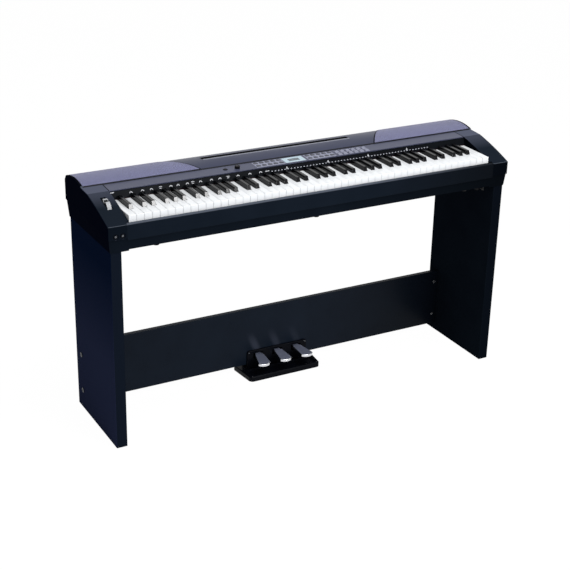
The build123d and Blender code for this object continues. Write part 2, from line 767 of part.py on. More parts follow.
def end_cheek(side):
    """End cheek notched for the front rail; the left one holds the wheel and two jacks."""
    outer = -1 if side > 0 else 0
    with BuildPart() as cheek:
        with BuildSketch(Plane.YZ.offset(side * well_x)):
            with BuildLine():
                cheek_profile(0, parting_z(front_y), parting_z(crease_y))
            make_face()
        extrude(amount=side * cheek_width)
        with BuildSketch(Plane.YZ.offset(side * upper_x)):
            with BuildLine():
                Line((crease_y, crease_z), (lip_y, lip_z + grille_sheet))
                hump_arc(grille_sheet)
                Polyline(
                    (brow_y, brow_z + grille_sheet),
                    (rear_y, shoulder_z),
                    (rear_y, parting_z(rear_y)),
                    (crease_y, parting_z(crease_y)),
                    (crease_y, crease_z),
                )
            make_face()
        extrude(amount=side * end_plate)
        corner = cheek.edges().filter_by(Axis.Z).group_by(Axis.Y)[0].sort_by(Axis.X)[outer]
        fillet(corner, cheek_corner_round)
        end_face = cheek.faces().sort_by(Axis.X)[outer]
        crown = end_face.edges().filter_by_position(Axis.Z, key_top_z, hump_z + case_wall)
        brow = cheek.edges().filter_by_position(Axis.Y, front_y, front_y + cheek_corner_round / 2)
        crown += brow.filter_by_position(Axis.Z, stand_height + cheek_front_height - cheek_round, hump_z)
        fillet(crown, cheek_round)
        with BuildSketch(Plane.YZ.offset(side * well_x)):
            with Locations((front_y, stand_height)):
                Rectangle(rail_depth, hump_height, align=Align.MIN)
        extrude(amount=side * rail_tuck, mode=Mode.SUBTRACT)
        with BuildSketch(Plane.YZ.offset(side * (rail_x + case_wall))):
            with BuildLine():
                cheek_profile(case_wall, stand_height, stand_height)
            make_face()
        extrude(amount=side * (cheek_width - rail_tuck - 2 * case_wall), mode=Mode.SUBTRACT)
        with BuildSketch(Plane.YZ.offset(side * (well_x + case_wall))):
            with BuildLine():
                cheek_profile(case_wall, stand_height, stand_height)
            make_face()
            with Locations((front_y, stand_height)):
                Rectangle(rail_depth + case_wall, hump_height, align=Align.MIN, mode=Mode.SUBTRACT)
        extrude(amount=side * rail_tuck, mode=Mode.SUBTRACT)
        if side < 0:
            with BuildSketch(Plane.XY.offset(wheel_z)):
                with Locations((wheel_x, wheel_y - wheel_slot_front)):
                    Rectangle(
                        2 * ear_x,
                        wheel_slot_front + wheel_slot_rear,
                        align=(Align.CENTER, Align.MIN),
                    )
            extrude(amount=2 * wheel_radius, mode=Mode.SUBTRACT)
            for ear in (-1, 1):
                with BuildSketch(Plane.YZ.offset(wheel_x + ear * ear_x)):
                    with BuildLine():
                        cheek_profile(case_wall, stand_height, stand_height)
                    make_face()
                    with Locations((wheel_y, wheel_z - 2 * wheel_axle_radius)):
                        Rectangle(
                            4 * wheel_axle_radius,
                            hump_height,
                            align=(Align.CENTER, Align.MIN),
                            mode=Mode.INTERSECT,
                        )
                    with Locations((wheel_y, wheel_z)):
                        Circle(wheel_axle_radius + wheel_axle_clearance, mode=Mode.SUBTRACT)
                extrude(amount=ear * wheel_ear)
            with BuildSketch(front_plane):
                with Locations(*headphone_spots):
                    Circle(jack_body_radius + jack_clearance)
            extrude(amount=-case_wall, mode=Mode.SUBTRACT)
            with BuildSketch(front_plane):
                with Locations(*headphone_spots):
                    Circle(jack_recess_radius)
            extrude(amount=-jack_nut_thickness, mode=Mode.SUBTRACT)
    return cheek


finish(end_cheek(-1), "left_end_cheek")
finish(end_cheek(1), "right_end_cheek")

notch_y = wheel_y - wheel_radius * sin(radians(wheel_notch_lean))
notch_z = wheel_z + wheel_radius * cos(radians(wheel_notch_lean))
with BuildPart() as pitch_wheel:
    with BuildSketch(Plane.YZ.offset(wheel_x)):
        with Locations((wheel_y, wheel_z)):
            Circle(wheel_radius)
    extrude(amount=wheel_width / 2, both=True)
    chamfer(pitch_wheel.edges().filter_by(GeomType.CIRCLE), wheel_side_gap / 2)
    with BuildSketch(Plane.YZ.offset(wheel_x)):
        with Locations((notch_y, notch_z)):
            Circle(wheel_notch_radius)
    extrude(amount=wheel_width / 2, both=True, mode=Mode.SUBTRACT)
    with BuildSketch(Plane.YZ.offset(wheel_x)):
        with Locations((wheel_y, wheel_z)):
            Circle(wheel_axle_radius)
    extrude(amount=ear_x + wheel_ear, both=True)
finish(pitch_wheel, "pitch_wheel")

# Front rail: hollow profile between the cheeks, its skirt over the parting line
rail_z = stand_height + rail_top_height
skirt_y = front_y + rail_wall
skirt_z = parting_z(front_y) - rail_skirt
with BuildPart() as front_rail:
    with BuildSketch(Plane.YZ.offset(-rail_x)) as rail_profile:
        with BuildLine():
            Polyline(
                (front_y, skirt_z),
                (skirt_y, skirt_z),
                (skirt_y, parting_z(skirt_y)),
                (rail_rear_y, parting_z(rail_rear_y)),
                (rail_rear_y, rail_z),
                (front_y, rail_z),
                close=True,
            )
        make_face()
        fillet(rail_profile.vertices().group_by(Axis.Y)[-1].sort_by(Axis.X)[0], rail_round)
        with BuildLine():
            Polyline(
                (skirt_y, parting_z(skirt_y) + rail_wall),
                (rail_rear_y - rail_wall, parting_z(rail_rear_y) + rail_wall),
                (rail_rear_y - rail_wall, rail_z - rail_wall),
                (skirt_y, rail_z - rail_wall),
                close=True,
            )
        make_face(mode=Mode.SUBTRACT)
    extrude(amount=2 * rail_x)
finish(front_rail, "front_rail")

# Control panel, its board and the controls that pass through it
board_top = -(panel_sheet + button_seat_gap + button_flange + button_travel + board_gap)
button_groups = (
    ("left_buttons", left_button_first, left_button_columns),
    ("centre_buttons", centre_button_first, centre_button_columns),
    ("right_buttons", right_button_first, right_button_columns),
)


def button_spots(first, columns):
    """Panel positions of one group of buttons."""
    return [(first + column * button_pitch, row) for column in range(columns) for row in button_rows]


all_button_spots = []
for name, first, columns in button_groups:
    all_button_spots += button_spots(first, columns)
with BuildPart() as control_panel:
    with BuildSketch(control_plane):
        Rectangle(
            2 * (well_x - panel_seam),
            panel_run / cos(tilt) - panel_seam,
            align=(Align.CENTER, Align.MIN),
        )
        with Locations(*all_button_spots):
            Rectangle(
                button_width + 2 * button_clearance,
                button_length + 2 * button_clearance,
                mode=Mode.SUBTRACT,
            )
        with Locations((power_x, power_reach)):
            Circle(power_radius + button_clearance, mode=Mode.SUBTRACT)
        with Locations((knob_x, knob_reach)):
            Circle(knob_shaft_radius + button_clearance, mode=Mode.SUBTRACT)
        with Locations((display_x, display_reach)):
            Rectangle(display_width, display_length, mode=Mode.SUBTRACT)
    extrude(amount=-panel_sheet)
    with BuildSketch(control_plane.offset(-panel_sheet)):
        with Locations(*[(x, post_reach) for x in post_xs]):
            Rectangle(post_width, post_width)
    extrude(amount=board_top + panel_sheet)
finish(control_panel, "control_panel")


def nameboard_y(z):
    """Front face of the leaning nameboard at a height."""
    return panel_front_y - nameboard_lean * (panel_front_z - z) / nameboard_height


nameboard_top_z = panel_front_z - panel_sheet - panel_seam
nameboard_foot_z = key_top_z + nameboard_gap
with BuildPart() as nameboard:
    with BuildSketch(Plane.YZ.offset(-well_x)):
        with BuildLine():
            Polyline(
                (nameboard_y(nameboard_foot_z), nameboard_foot_z),
                (nameboard_y(nameboard_foot_z) + nameboard_thickness, nameboard_foot_z),
                (nameboard_y(nameboard_top_z) + nameboard_thickness, nameboard_top_z),
                (nameboard_y(nameboard_top_z), nameboard_top_z),
                close=True,
            )
        make_face()
    extrude(amount=2 * well_x)
finish(nameboard, "nameboard")

with BuildPart() as display_module:
    with BuildSketch(control_plane):
        with Locations((display_x, display_reach)):
            Rectangle(display_width, display_length)
    extrude(amount=-panel_sheet)
    with BuildSketch(control_plane.offset(-panel_sheet)):
        with Locations((display_x, display_reach)):
            Rectangle(display_width + 2 * display_flange, display_length + 2 * display_flange)
    extrude(amount=board_top + panel_sheet)
    with BuildSketch(control_plane):
        with Locations((display_x, display_reach)):
            Rectangle(glass_width, glass_length)
    extrude(amount=-glass_sink, mode=Mode.SUBTRACT)
finish(display_module, "display_module")

board_left = power_x - board_margin
board_right = right_button_first + (right_button_columns - 1) * button_pitch + board_margin
with BuildPart() as control_board:
    with BuildSketch(control_plane.offset(board_top)):
        with Locations(((board_left + board_right) / 2, post_reach)):
            Rectangle(board_right - board_left, board_length)
    extrude(amount=-board_sheet)
    with BuildSketch(control_plane.offset(board_top - board_sheet)):
        with Locations((knob_x, knob_reach)):
            Rectangle(2 * knob_radius, 2 * knob_radius)
    extrude(amount=-pot_depth)
    with BuildSketch(control_plane.offset(board_top)):
        with Locations((knob_x, knob_reach)):
            Circle(knob_shaft_radius + pot_clearance)
    extrude(amount=-pot_depth, mode=Mode.SUBTRACT)
finish(control_board, "control_board")

with BuildPart() as volume_knob:
    with BuildSketch(control_plane.offset(knob_lift)):
        with Locations((knob_x, knob_reach)):
            Circle(knob_radius)
    extrude(amount=knob_height - knob_lift)
    chamfer(volume_knob.faces().sort_by(Axis.Z)[-1].edges(), knob_lift)
    with BuildSketch(control_plane.offset(knob_height)):
        with Locations((knob_x, knob_reach + knob_radius / 2)):
            Rectangle(2 * knob_lift, knob_radius)
    extrude(amount=-knob_lift, mode=Mode.SUBTRACT)
    with BuildSketch(control_plane.offset(knob_lift)):
        with Locations((knob_x, knob_reach)):
            Circle(knob_shaft_radius)
    extrude(amount=board_top - pot_depth / 2 - knob_lift)
finish(volume_knob, "volume_knob")

flange_top = -(panel_sheet + button_seat_gap)
with BuildPart() as power_button:
    with BuildSketch(control_plane.offset(button_rise)):
        with Locations((power_x, power_reach)):
            Circle(power_radius)
    extrude(amount=flange_top - button_rise)
    chamfer(power_button.faces().sort_by(Axis.Z)[-1].edges(), button_edge)
    with BuildSketch(control_plane.offset(flange_top)):
        with Locations((power_x, power_reach)):
            Circle(power_radius + button_lip)
    extrude(amount=-button_flange)
finish(power_button, "power_button")

for name, first, columns in button_groups:
    with BuildPart() as buttons:
        with BuildSketch(control_plane.offset(button_rise)):
            with Locations(*button_spots(first, columns)):
                Rectangle(button_width, button_length)
        extrude(amount=flange_top - button_rise)
        caps = buttons.faces().filter_by(lambda face: face.normal_at().dot(control_plane.z_dir) > 0.9)
        chamfer(caps.edges(), button_edge)
        with BuildSketch(control_plane.offset(flange_top)):
            with Locations(*button_spots(first, columns)):
                Rectangle(button_width + 2 * button_lip, button_length + 2 * button_lip)
        extrude(amount=-button_flange)
    finish(buttons, name)

# Sockets: two headphone jacks in front, the damper jack and the power inlet behind
rear_jack_spots = [(-damper_jack_x, socket_z), (-inlet_x, socket_z)]
with BuildPart() as sockets:
    with BuildSketch(front_plane):
        with Locations(*headphone_spots):
            Circle(jack_nut_radius)
    extrude(amount=-jack_nut_thickness)
    with BuildSketch(front_plane):
        with Locations(*headphone_spots):
            Circle(jack_body_radius)
    extrude(amount=-jack_length)
    with BuildSketch(rear_plane):
        with Locations(*rear_jack_spots):
            Circle(jack_body_radius)
    extrude(amount=-jack_length)
    with BuildSketch(rear_plane.offset(-case_wall)):
        with Locations(*rear_jack_spots):
            Circle(jack_nut_radius)
    extrude(amount=-jack_nut_thickness)
    with BuildSketch(front_plane):
        with Locations(*headphone_spots):
            Circle(jack_bore_radius)
    extrude(amount=-jack_bore_depth, mode=Mode.SUBTRACT)
    with BuildSketch(rear_plane):
        with Locations(rear_jack_spots[0]):
            Circle(jack_bore_radius)
    extrude(amount=-jack_bore_depth, mode=Mode.SUBTRACT)
    with BuildSketch(rear_plane):
        with Locations(rear_jack_spots[1]):
            Circle(inlet_bore_radius)
    extrude(amount=-inlet_bore_depth, mode=Mode.SUBTRACT)
finish(sockets, "sockets")

# Key chassis: base on the case floor, front stop rail and the rib with the pivot bead
chassis_x = well_x - key_side_gap
chassis_z = case_z + floor_thickness
stop_y = key_front_y + stop_reach
stop_z = key_under_z - key_dip
with BuildPart() as key_chassis:
    with BuildSketch(Plane.YZ.offset(-chassis_x)):
        with Locations((stop_y, chassis_z)):
            Rectangle(stop_width, stop_z - chassis_z, align=Align.MIN)
        with Locations((stop_y + stop_width / 2, chassis_z)):
            Rectangle(
                stop_width - 2 * chassis_sheet,
                stop_z - chassis_z - chassis_sheet,
                align=(Align.CENTER, Align.MIN),
                mode=Mode.SUBTRACT,
            )
        with Locations((stop_y, chassis_z)):
            Rectangle(key_rear_y - stop_y, chassis_sheet, align=Align.MIN)
        with Locations((pivot_y, chassis_z)):
            Rectangle(pivot_rib, pivot_z - chassis_z, align=(Align.CENTER, Align.MIN))
        with Locations((pivot_y, pivot_z)):
            Circle(pivot_radius)
    extrude(amount=2 * chassis_x)
finish(key_chassis, "key_chassis")

# Keys: levers on the pivot bead, named by note; the middle octave has pieces of its own
note_names = ("c", "c_sharp", "d", "d_sharp", "e", "f", "f_sharp", "g", "g_sharp", "a", "a_sharp", "b")
white_places = {0: 0, 2: 1, 4: 2, 5: 3, 7: 4, 9: 5, 11: 6}
octave_keys = len(note_names)
octave_whites = len(white_places)
low_keys = 5                # c to e
low_whites = 3
high_keys = octave_keys - low_keys
high_whites = octave_whites - low_whites
first_tone = 9              # the lowest key is an a
middle_octave = 4
black_front_y = nameboard_foot_y - black_key_length
black_rear_y = nameboard_foot_y - nameboard_gap
black_foot_z = key_top_z - black_key_sink
head_rear_y = black_front_y - black_front_gap


def key_spans(number):
    """Left and right edges of a key's head and of its lever, counted from the lowest key."""
    octave, tone = divmod(number + first_tone, octave_keys)
    start = (octave * octave_whites - white_places[first_tone]) * key_pitch - keyboard_width / 2
    if tone < low_keys:
        share = low_whites * key_pitch / low_keys
        left = start + tone * share
    else:
        share = high_whites * key_pitch / high_keys
        left = start + low_whites * key_pitch + (tone - low_keys) * share
    right = left + share
    head_left = start + white_places.get(tone, 0) * key_pitch
    if number == 0:
        left = head_left
    if number == key_count - 1:
        right = head_left + key_pitch
    inset = key_gap / 2
    return head_left + inset, head_left + key_pitch - inset, left + inset, right - inset


def bearing_groove(left, right):
    """Groove with a V roof over the pivot bead, cut across a key from below."""
    half = pivot_radius + pivot_clearance
    with BuildSketch(Plane.YZ.offset(left)) as groove:
        with BuildLine():
            Polyline(
                (pivot_y - half, key_under_z),
                (pivot_y - half, pivot_z + half * tan(radians(22.5))),
                (pivot_y, pivot_z + half * sqrt(2)),
                (pivot_y + half, pivot_z + half * tan(radians(22.5))),
                (pivot_y + half, key_under_z),
                close=True,
            )
        make_face()
    extrude(groove.sketch, amount=right - left, mode=Mode.SUBTRACT)


def white_key(number):
    """White key: wide head with an apron, narrow lever between the black keys."""
    head_left, head_right, left, right = key_spans(number)
    head_x = (head_left + head_right) / 2
    with BuildPart() as key:
        with BuildSketch(Plane.XY.offset(key_under_z)):
            with Locations((head_x, key_front_y)):
                Rectangle(
                    head_right - head_left,
                    head_rear_y - key_front_y,
                    align=(Align.CENTER, Align.MIN),
                )
            with Locations(((left + right) / 2, key_front_y)):
                Rectangle(right - left, key_rear_y - key_front_y, align=(Align.CENTER, Align.MIN))
        extrude(amount=key_thickness)
        chamfer(key.faces().sort_by(Axis.Z)[-1].edges(), key_edge)
        with BuildSketch(Plane.XY.offset(key_under_z)):
            with Locations((head_x, key_front_y)):
                Rectangle(head_right - head_left, apron_depth, align=(Align.CENTER, Align.MIN))
        extrude(amount=apron_z - key_under_z)
        bearing_groove(left, right)
    return key.part


def black_key(number):
    """Black key: lever below the white tops with a tapered cap on its front."""
    left, right = key_spans(number)[2:]
    mid_x = (left + right) / 2
    with BuildPart() as key:
        with BuildSketch(Plane.XY.offset(key_under_z)):
            with Locations((mid_x, black_front_y)):
                Rectangle(right - left, key_rear_y - black_front_y, align=(Align.CENTER, Align.MIN))
        extrude(amount=black_foot_z - key_under_z)
        with BuildSketch(Plane.XY.offset(black_foot_z)):
            with Locations((mid_x, black_rear_y)):
                Rectangle(
                    black_foot_width,
                    black_rear_y - black_front_y,
                    align=(Align.CENTER, Align.MAX),
                )
        with BuildSketch(Plane.XY.offset(key_top_z + black_key_height)):
            with Locations((mid_x, black_rear_y)):
                Rectangle(
                    black_top_width,
                    black_rear_y - black_front_y - black_front_slope,
                    align=(Align.CENTER, Align.MAX),
                )
        loft(ruled=True)
        chamfer(key.faces().sort_by(Axis.Z)[-1].edges(), black_key_edge)
        bearing_groove(left, right)
    return key.part


for tone, note in enumerate(note_names):
    make_key = white_key if tone in white_places else black_key
    others = []
    for number in range(key_count):
        octave, key_tone = divmod(number + first_tone, octave_keys)
        if key_tone == tone and octave != middle_octave:
            others.append(make_key(number))
    with BuildPart() as note_keys:
        add(others)
    finish(note_keys, f"keys_{note}")
    middle_key = make_key(middle_octave * octave_keys + tone - first_tone)
    with BuildPart() as single_key:
        add(middle_key)
    finish(single_key, f"key_{note}_{middle_octave}")
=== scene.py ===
import math

import bmesh
import bpy
from mathutils import Matrix, Vector


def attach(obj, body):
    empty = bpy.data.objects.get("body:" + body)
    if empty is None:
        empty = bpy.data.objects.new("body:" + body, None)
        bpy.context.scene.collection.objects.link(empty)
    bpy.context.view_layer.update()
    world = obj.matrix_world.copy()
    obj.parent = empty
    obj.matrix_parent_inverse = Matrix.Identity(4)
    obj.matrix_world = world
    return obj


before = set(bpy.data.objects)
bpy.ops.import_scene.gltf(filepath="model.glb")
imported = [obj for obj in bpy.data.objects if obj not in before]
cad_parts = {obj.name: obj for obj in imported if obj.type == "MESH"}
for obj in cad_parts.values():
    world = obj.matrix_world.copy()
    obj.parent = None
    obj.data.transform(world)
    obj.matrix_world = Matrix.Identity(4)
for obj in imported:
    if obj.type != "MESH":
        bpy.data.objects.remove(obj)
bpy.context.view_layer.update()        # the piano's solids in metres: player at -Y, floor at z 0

MM = 0.001

# Stand panels and cross board: chipboard sheets, 33.5 and 16 mm thick, faced and edge-banded in
# satin melamine, black inside and navy outside; the darker inner faces are painted shade. Tones that
# deepen to the right, or grow paler outside towards the floor, are painted light, and pale streaks
# are painted reflections of the pedals.


def put(tree, kind, sockets=None, **options):
    """Add a node, set its options, and fill its sockets with values or links."""
    node = tree.nodes.new(kind)
    for option, value in options.items():
        setattr(node, option, value)
    for key, value in (sockets or {}).items():
        if isinstance(value, bpy.types.NodeSocket):
            tree.links.new(value, node.inputs[key])
        else:
            node.inputs[key].default_value = value
    return node


def start_group(name, inputs, outputs):
    """Shader node group with named sockets; returns it with its input and output nodes."""
    group = bpy.data.node_groups.new(name, "ShaderNodeTree")
    for label, kind, value in inputs:
        socket = group.interface.new_socket(name=label, in_out="INPUT", socket_type=kind)
        socket.default_value = value
    for label, kind in outputs:
        group.interface.new_socket(name=label, in_out="OUTPUT", socket_type=kind)
    return group, group.nodes.new("NodeGroupInput"), group.nodes.new("NodeGroupOutput")


def reckoned(tree, operation, *values):
    """Result of a math node on values or links."""
    return put(tree, "ShaderNodeMath", dict(enumerate(values)), operation=operation).outputs[0]


def vectored(tree, operation, *values):
    """Vector math node on values or links."""
    return put(tree, "ShaderNodeVectorMath", dict(enumerate(values)), operation=operation)


def ranged(tree, value, start, end, low=0.0, high=1.0, **options):
    """Value carried over from one range to another."""
    sockets = {"Value": value, "From Min": start, "From Max": end, "To Min": low, "To Max": high}
    return put(tree, "ShaderNodeMapRange", sockets, **options).outputs[0]


def parts_of(tree, kind):
    """X, Y and Z of a face's place ("Object") or direction ("Normal")."""
    spot = put(tree, "ShaderNodeTexCoord")
    return put(tree, "ShaderNodeSeparateXYZ", {0: spot.outputs[kind]}).outputs


def blended(tree, share, under, over):
    """Mix of two colours by a share; each colour is three numbers or a link."""
    sockets = {0: share}
    under_socket, over_socket, color_result = 6, 7, 2
    for key, color in ((under_socket, under), (over_socket, over)):
        sockets[key] = color if isinstance(color, bpy.types.NodeSocket) else (*color, 1.0)
    return put(tree, "ShaderNodeMix", sockets, data_type="RGBA").outputs[color_result]


FLOAT, COLOR, VECTOR = "NodeSocketFloat", "NodeSocketColor", "NodeSocketVector"

surface_grain, given, result = start_group(
    "surface_grain",
    [
        ("Color", COLOR, (0.1, 0.1, 0.1, 1.0)),
        ("Shade", COLOR, (0.05, 0.05, 0.05, 1.0)),
        ("Scale", FLOAT, 900.0),
        ("Roughness", FLOAT, 0.4),
        ("Spread", FLOAT, 0.05),
    ],
    [("Color", COLOR), ("Roughness", FLOAT), ("Height", FLOAT)],
)
spot = put(surface_grain, "ShaderNodeTexCoord").outputs["Object"]
fine = put(
    surface_grain,
    "ShaderNodeTexNoise",
    {"Vector": spot, "Scale": given.outputs["Scale"], "Detail": 3.0, "Roughness": 0.6},
).outputs[0]
cloud = put(surface_grain, "ShaderNodeTexNoise", {"Vector": spot, "Scale": 11.0, "Detail": 2.0}).outputs[0]
both = reckoned(surface_grain, "ADD", fine, cloud)
share = ranged(surface_grain, both, start=0.75, end=1.25)
tone = blended(surface_grain, share, given.outputs["Shade"], given.outputs["Color"])
swing = ranged(surface_grain, both, start=0.6, end=1.4, low=-1.0)
gloss = reckoned(surface_grain, "MULTIPLY_ADD", swing, given.outputs["Spread"], given.outputs["Roughness"])
surface_grain.links.new(tone, result.inputs["Color"])
surface_grain.links.new(gloss, result.inputs["Roughness"])
surface_grain.links.new(fine, result.inputs["Height"])

# Paler edges: partly wear, partly a painted highlight where edges catch the light; the bevelled normal rounds
# them.
worn_and_lit_edges, given, result = start_group(
    "worn_and_lit_edges",
    [("Radius", FLOAT, 0.0006)],
    [("Edge", FLOAT), ("Normal", VECTOR)],
)
eased = put(worn_and_lit_edges, "ShaderNodeBevel", {"Radius": given.outputs["Radius"]}, samples=6).outputs[0]
true_face = put(worn_and_lit_edges, "ShaderNodeNewGeometry").outputs["Normal"]
meeting = vectored(worn_and_lit_edges, "DOT_PRODUCT", eased, true_face).outputs["Value"]
spot = put(worn_and_lit_edges, "ShaderNodeTexCoord").outputs["Object"]
patches = put(worn_and_lit_edges, "ShaderNodeTexNoise", {"Vector": spot, "Scale": 260.0}).outputs[0]
rim = ranged(worn_and_lit_edges, meeting, start=0.985, end=0.8)
worn_and_lit_edges.links.new(reckoned(worn_and_lit_edges, "MULTIPLY", rim, patches), result.inputs["Edge"])
worn_and_lit_edges.links.new(eased, result.inputs["Normal"])


def new_finish(name):
    """Plain material, with its node tree and its main shader."""
    material = bpy.data.materials.new(name)
    material.use_nodes = True
    return material, material.node_tree, material.node_tree.nodes["Principled BSDF"]


def bumped(tree, height, normal, strength, depth):
    """Relief laid over the direction of a face."""
    sockets = {"Height": height, "Normal": normal, "Strength": strength, "Distance": depth}
    return put(tree, "ShaderNodeBump", sockets).outputs[0]


def grained(name, color, shade, edge, roughness, spread, scale, depth, specular, radius=0.8 * MM):
    """Finish with cloudy colour, a fine grain in its gloss and relief, and paler edges, partly worn and
    partly painted highlight.
    """
    material, tree, shader = new_finish(name)
    shader.inputs["Specular IOR Level"].default_value = specular
    grain = put(
        tree,
        "ShaderNodeGroup",
        {
            "Color": (*color, 1.0),
            "Shade": (*shade, 1.0),
            "Scale": scale,
            "Roughness": roughness,
            "Spread": spread,
        },
        node_tree=surface_grain,
    )
    rim = put(tree, "ShaderNodeGroup", {"Radius": radius}, node_tree=worn_and_lit_edges)
    paint = blended(tree, rim.outputs["Edge"], grain.outputs["Color"], edge)
    relief = bumped(tree, grain.outputs["Height"], rim.outputs["Normal"], strength=0.5, depth=depth)
    tree.links.new(paint, shader.inputs["Base Color"])
    tree.links.new(grain.outputs["Roughness"], shader.inputs["Roughness"])
    tree.links.new(relief, shader.inputs["Normal"])
    return material


def dress(material, *nodes):
    """Give solids of the piano one finish."""
    for node in nodes:
        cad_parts[node].material_slots[0].material = material


panel_melamine = grained(
    "panel_melamine", (0.0044, 0.0066, 0.0104), (0.0032, 0.0050, 0.0082), (0.012, 0.016, 0.024),
    roughness=0.42, spread=0.05, scale=700.0, depth=0.05 * MM, specular=0.0002, radius=1.2 * MM,
)
outer_side, given, result = start_group("outer_side", [("Level", FLOAT, 0.0)], [("Outer", FLOAT)])
place, facing = parts_of(outer_side, "Object"), parts_of(outer_side, "Normal")
outward = reckoned(outer_side, "MULTIPLY", place["X"], facing["X"])
outer = reckoned(outer_side, "GREATER_THAN", outward, given.outputs["Level"])
outer_side.links.new(outer, result.inputs["Outer"])


def paint_over(material, share, color):
    """Lay a colour, as three numbers or a link, over a finish by a share."""
    tree = material.node_tree
    base = tree.nodes["Principled BSDF"].inputs["Base Color"]
    tree.links.new(blended(tree, share, base.links[0].from_socket, color), base)


def tint_outside(material, color, level):
    """Give the faces that look away from the middle of the piano another colour."""
    outside = put(material.node_tree, "ShaderNodeGroup", {"Level": level}, node_tree=outer_side)
    paint_over(material, outside.outputs["Outer"], color)


left_to_right, given, result = start_group(
    "left_to_right", [("Start", FLOAT, -0.65), ("End", FLOAT, 0.65)], [("Right", FLOAT)]
)
place = parts_of(left_to_right, "Object")
share = ranged(left_to_right, place["X"], given.outputs["Start"], given.outputs["End"])
left_to_right.links.new(share, result.inputs["Right"])


def deepen_right(material, color, start):
    """Let a finish go over to a deeper tone on the right, in place of light that falls off there."""
    across = put(material.node_tree, "ShaderNodeGroup", {"Start": start}, node_tree=left_to_right)
    paint_over(material, across.outputs["Right"], color)


tree = panel_melamine.node_tree
# Painted light and shade: faces that don't look inwards take a tone that deepens to the right, and the inner
# faces keep the darker base as painted shade.
left_band, right_band = (0.0054, 0.0082, 0.0148), (0.0024, 0.0037, 0.0064)
across = put(tree, "ShaderNodeGroup", node_tree=left_to_right)
band = blended(tree, across.outputs["Right"], left_band, right_band)
tint_outside(panel_melamine, band, level=-0.3)
# Painted light: the outer faces are navy, paler towards the floor as light from below.
navy, pale_navy = (0.0021, 0.0060, 0.0210), (0.0145, 0.0192, 0.0450)
navy_z, pale_z = 0.56, 0.26
downward = ranged(tree, parts_of(tree, "Object")["Z"], navy_z, pale_z)
tint_outside(panel_melamine, blended(tree, downward, navy, pale_navy), level=0.3)
dress(panel_melamine, "left_side_panel", "right_side_panel")
board_melamine = grained(
    "board_melamine", (0.0064, 0.0106, 0.0190), (0.0050, 0.0084, 0.0154), (0.010, 0.014, 0.022),
    roughness=0.30, spread=0.05, scale=700.0, depth=0.05 * MM, specular=0.05, radius=1.2 * MM,
)
deepen_right(board_melamine, (0.0012, 0.0020, 0.0036), start=0.10)

# Painted reflections of the pedals: pale streaks that lean to the left, fade upwards and get weaker
# from the first one to the right. Their places are in metres, and their width is a share of the pitch between
# them.
streak_count, streak_first_x, streak_pitch, streak_lean = 3.0, -0.086, 0.075, 0.41
streak_z, streak_full_z, streak_end_z, board_middle_y = 0.110, 0.090, 0.150, 0.106
streak_edge, streak_core, streak_strength = 0.27, 0.04, 0.75
streak_color = (0.034, 0.040, 0.060)
tree = board_melamine.node_tree
place = parts_of(tree, "Object")
over = reckoned(tree, "SUBTRACT", place["Z"], streak_z)
along = reckoned(tree, "MULTIPLY_ADD", over, streak_lean, place["X"])
turns = ranged(tree, along, streak_first_x, streak_first_x + streak_pitch, clamp=False)
whole = reckoned(tree, "ROUND", turns)
apart = reckoned(tree, "ABSOLUTE", reckoned(tree, "SUBTRACT", turns, whole))
pale = ranged(tree, apart, streak_edge, streak_core, interpolation_type="SMOOTHSTEP")
for mask in (
    ranged(tree, place["Z"], streak_end_z, streak_full_z, interpolation_type="SMOOTHSTEP"),
    ranged(tree, whole, streak_count, 0.0, high=streak_strength),
    reckoned(tree, "GREATER_THAN", whole, -0.5),
    reckoned(tree, "LESS_THAN", place["Y"], board_middle_y),
):
    pale = reckoned(tree, "MULTIPLY", pale, mask)
paint_over(board_melamine, pale, streak_color)
dress(board_melamine, "modesty_board")

# Floor glides: thin black nylon discs, 22 mm across, stuck under the feet of the panels.
# Matt, paler round the rim that slides on the floor, partly scuffed and partly painted highlight.
black_nylon = grained(
    "black_nylon", (0.008, 0.008, 0.010), (0.005, 0.005, 0.006), (0.024, 0.024, 0.027),
    roughness=0.55, spread=0.08, scale=900.0, depth=0.05 * MM, specular=0.08,
)
dress(black_nylon, "floor_glides")

# Panel bolts, cross dowels and pedal shaft: turned steel. The blackened bolts draw the panels
# against the board; each zinc plated dowel shows as a 10 mm disc with a driver slot.
turned_lines, given, result = start_group(
    "turned_lines",
    [("Along", VECTOR, (1.0, 1.0, 1.0)), ("Roughness", FLOAT, 0.3), ("Spread", FLOAT, 0.1)],
    [("Tone", FLOAT), ("Roughness", FLOAT), ("Height", FLOAT)],
)
spot = put(turned_lines, "ShaderNodeTexCoord").outputs["Object"]
drawn = vectored(turned_lines, "MULTIPLY", spot, given.outputs["Along"]).outputs[0]
streaks = put(turned_lines, "ShaderNodeTexNoise", {"Vector": drawn, "Scale": 1.0, "Detail": 4.0}).outputs[0]
swing = ranged(turned_lines, streaks, start=0.3, end=0.7, low=-1.0)
gloss = reckoned(turned_lines, "MULTIPLY_ADD", swing, given.outputs["Spread"], given.outputs["Roughness"])
turned_lines.links.new(streaks, result.inputs["Tone"])
turned_lines.links.new(gloss, result.inputs["Roughness"])
turned_lines.links.new(streaks, result.inputs["Height"])


def metal(name, dark, light, along, roughness, spread, depth):
    """Bare metal with drawn lines in its colour, gloss and relief."""
    material, tree, shader = new_finish(name)
    shader.inputs["Metallic"].default_value = 1.0
    lines = put(
        tree,
        "ShaderNodeGroup",
        {"Along": along, "Roughness": roughness, "Spread": spread},
        node_tree=turned_lines,
    )
    rim = put(tree, "ShaderNodeGroup", {"Radius": 0.4 * MM}, node_tree=worn_and_lit_edges)
    paint = blended(tree, lines.outputs["Tone"], dark, light)
    relief = bumped(tree, lines.outputs["Height"], rim.outputs["Normal"], strength=0.6, depth=depth)
    tree.links.new(paint, shader.inputs["Base Color"])
    tree.links.new(lines.outputs["Roughness"], shader.inputs["Roughness"])
    tree.links.new(relief, shader.inputs["Normal"])
    return material


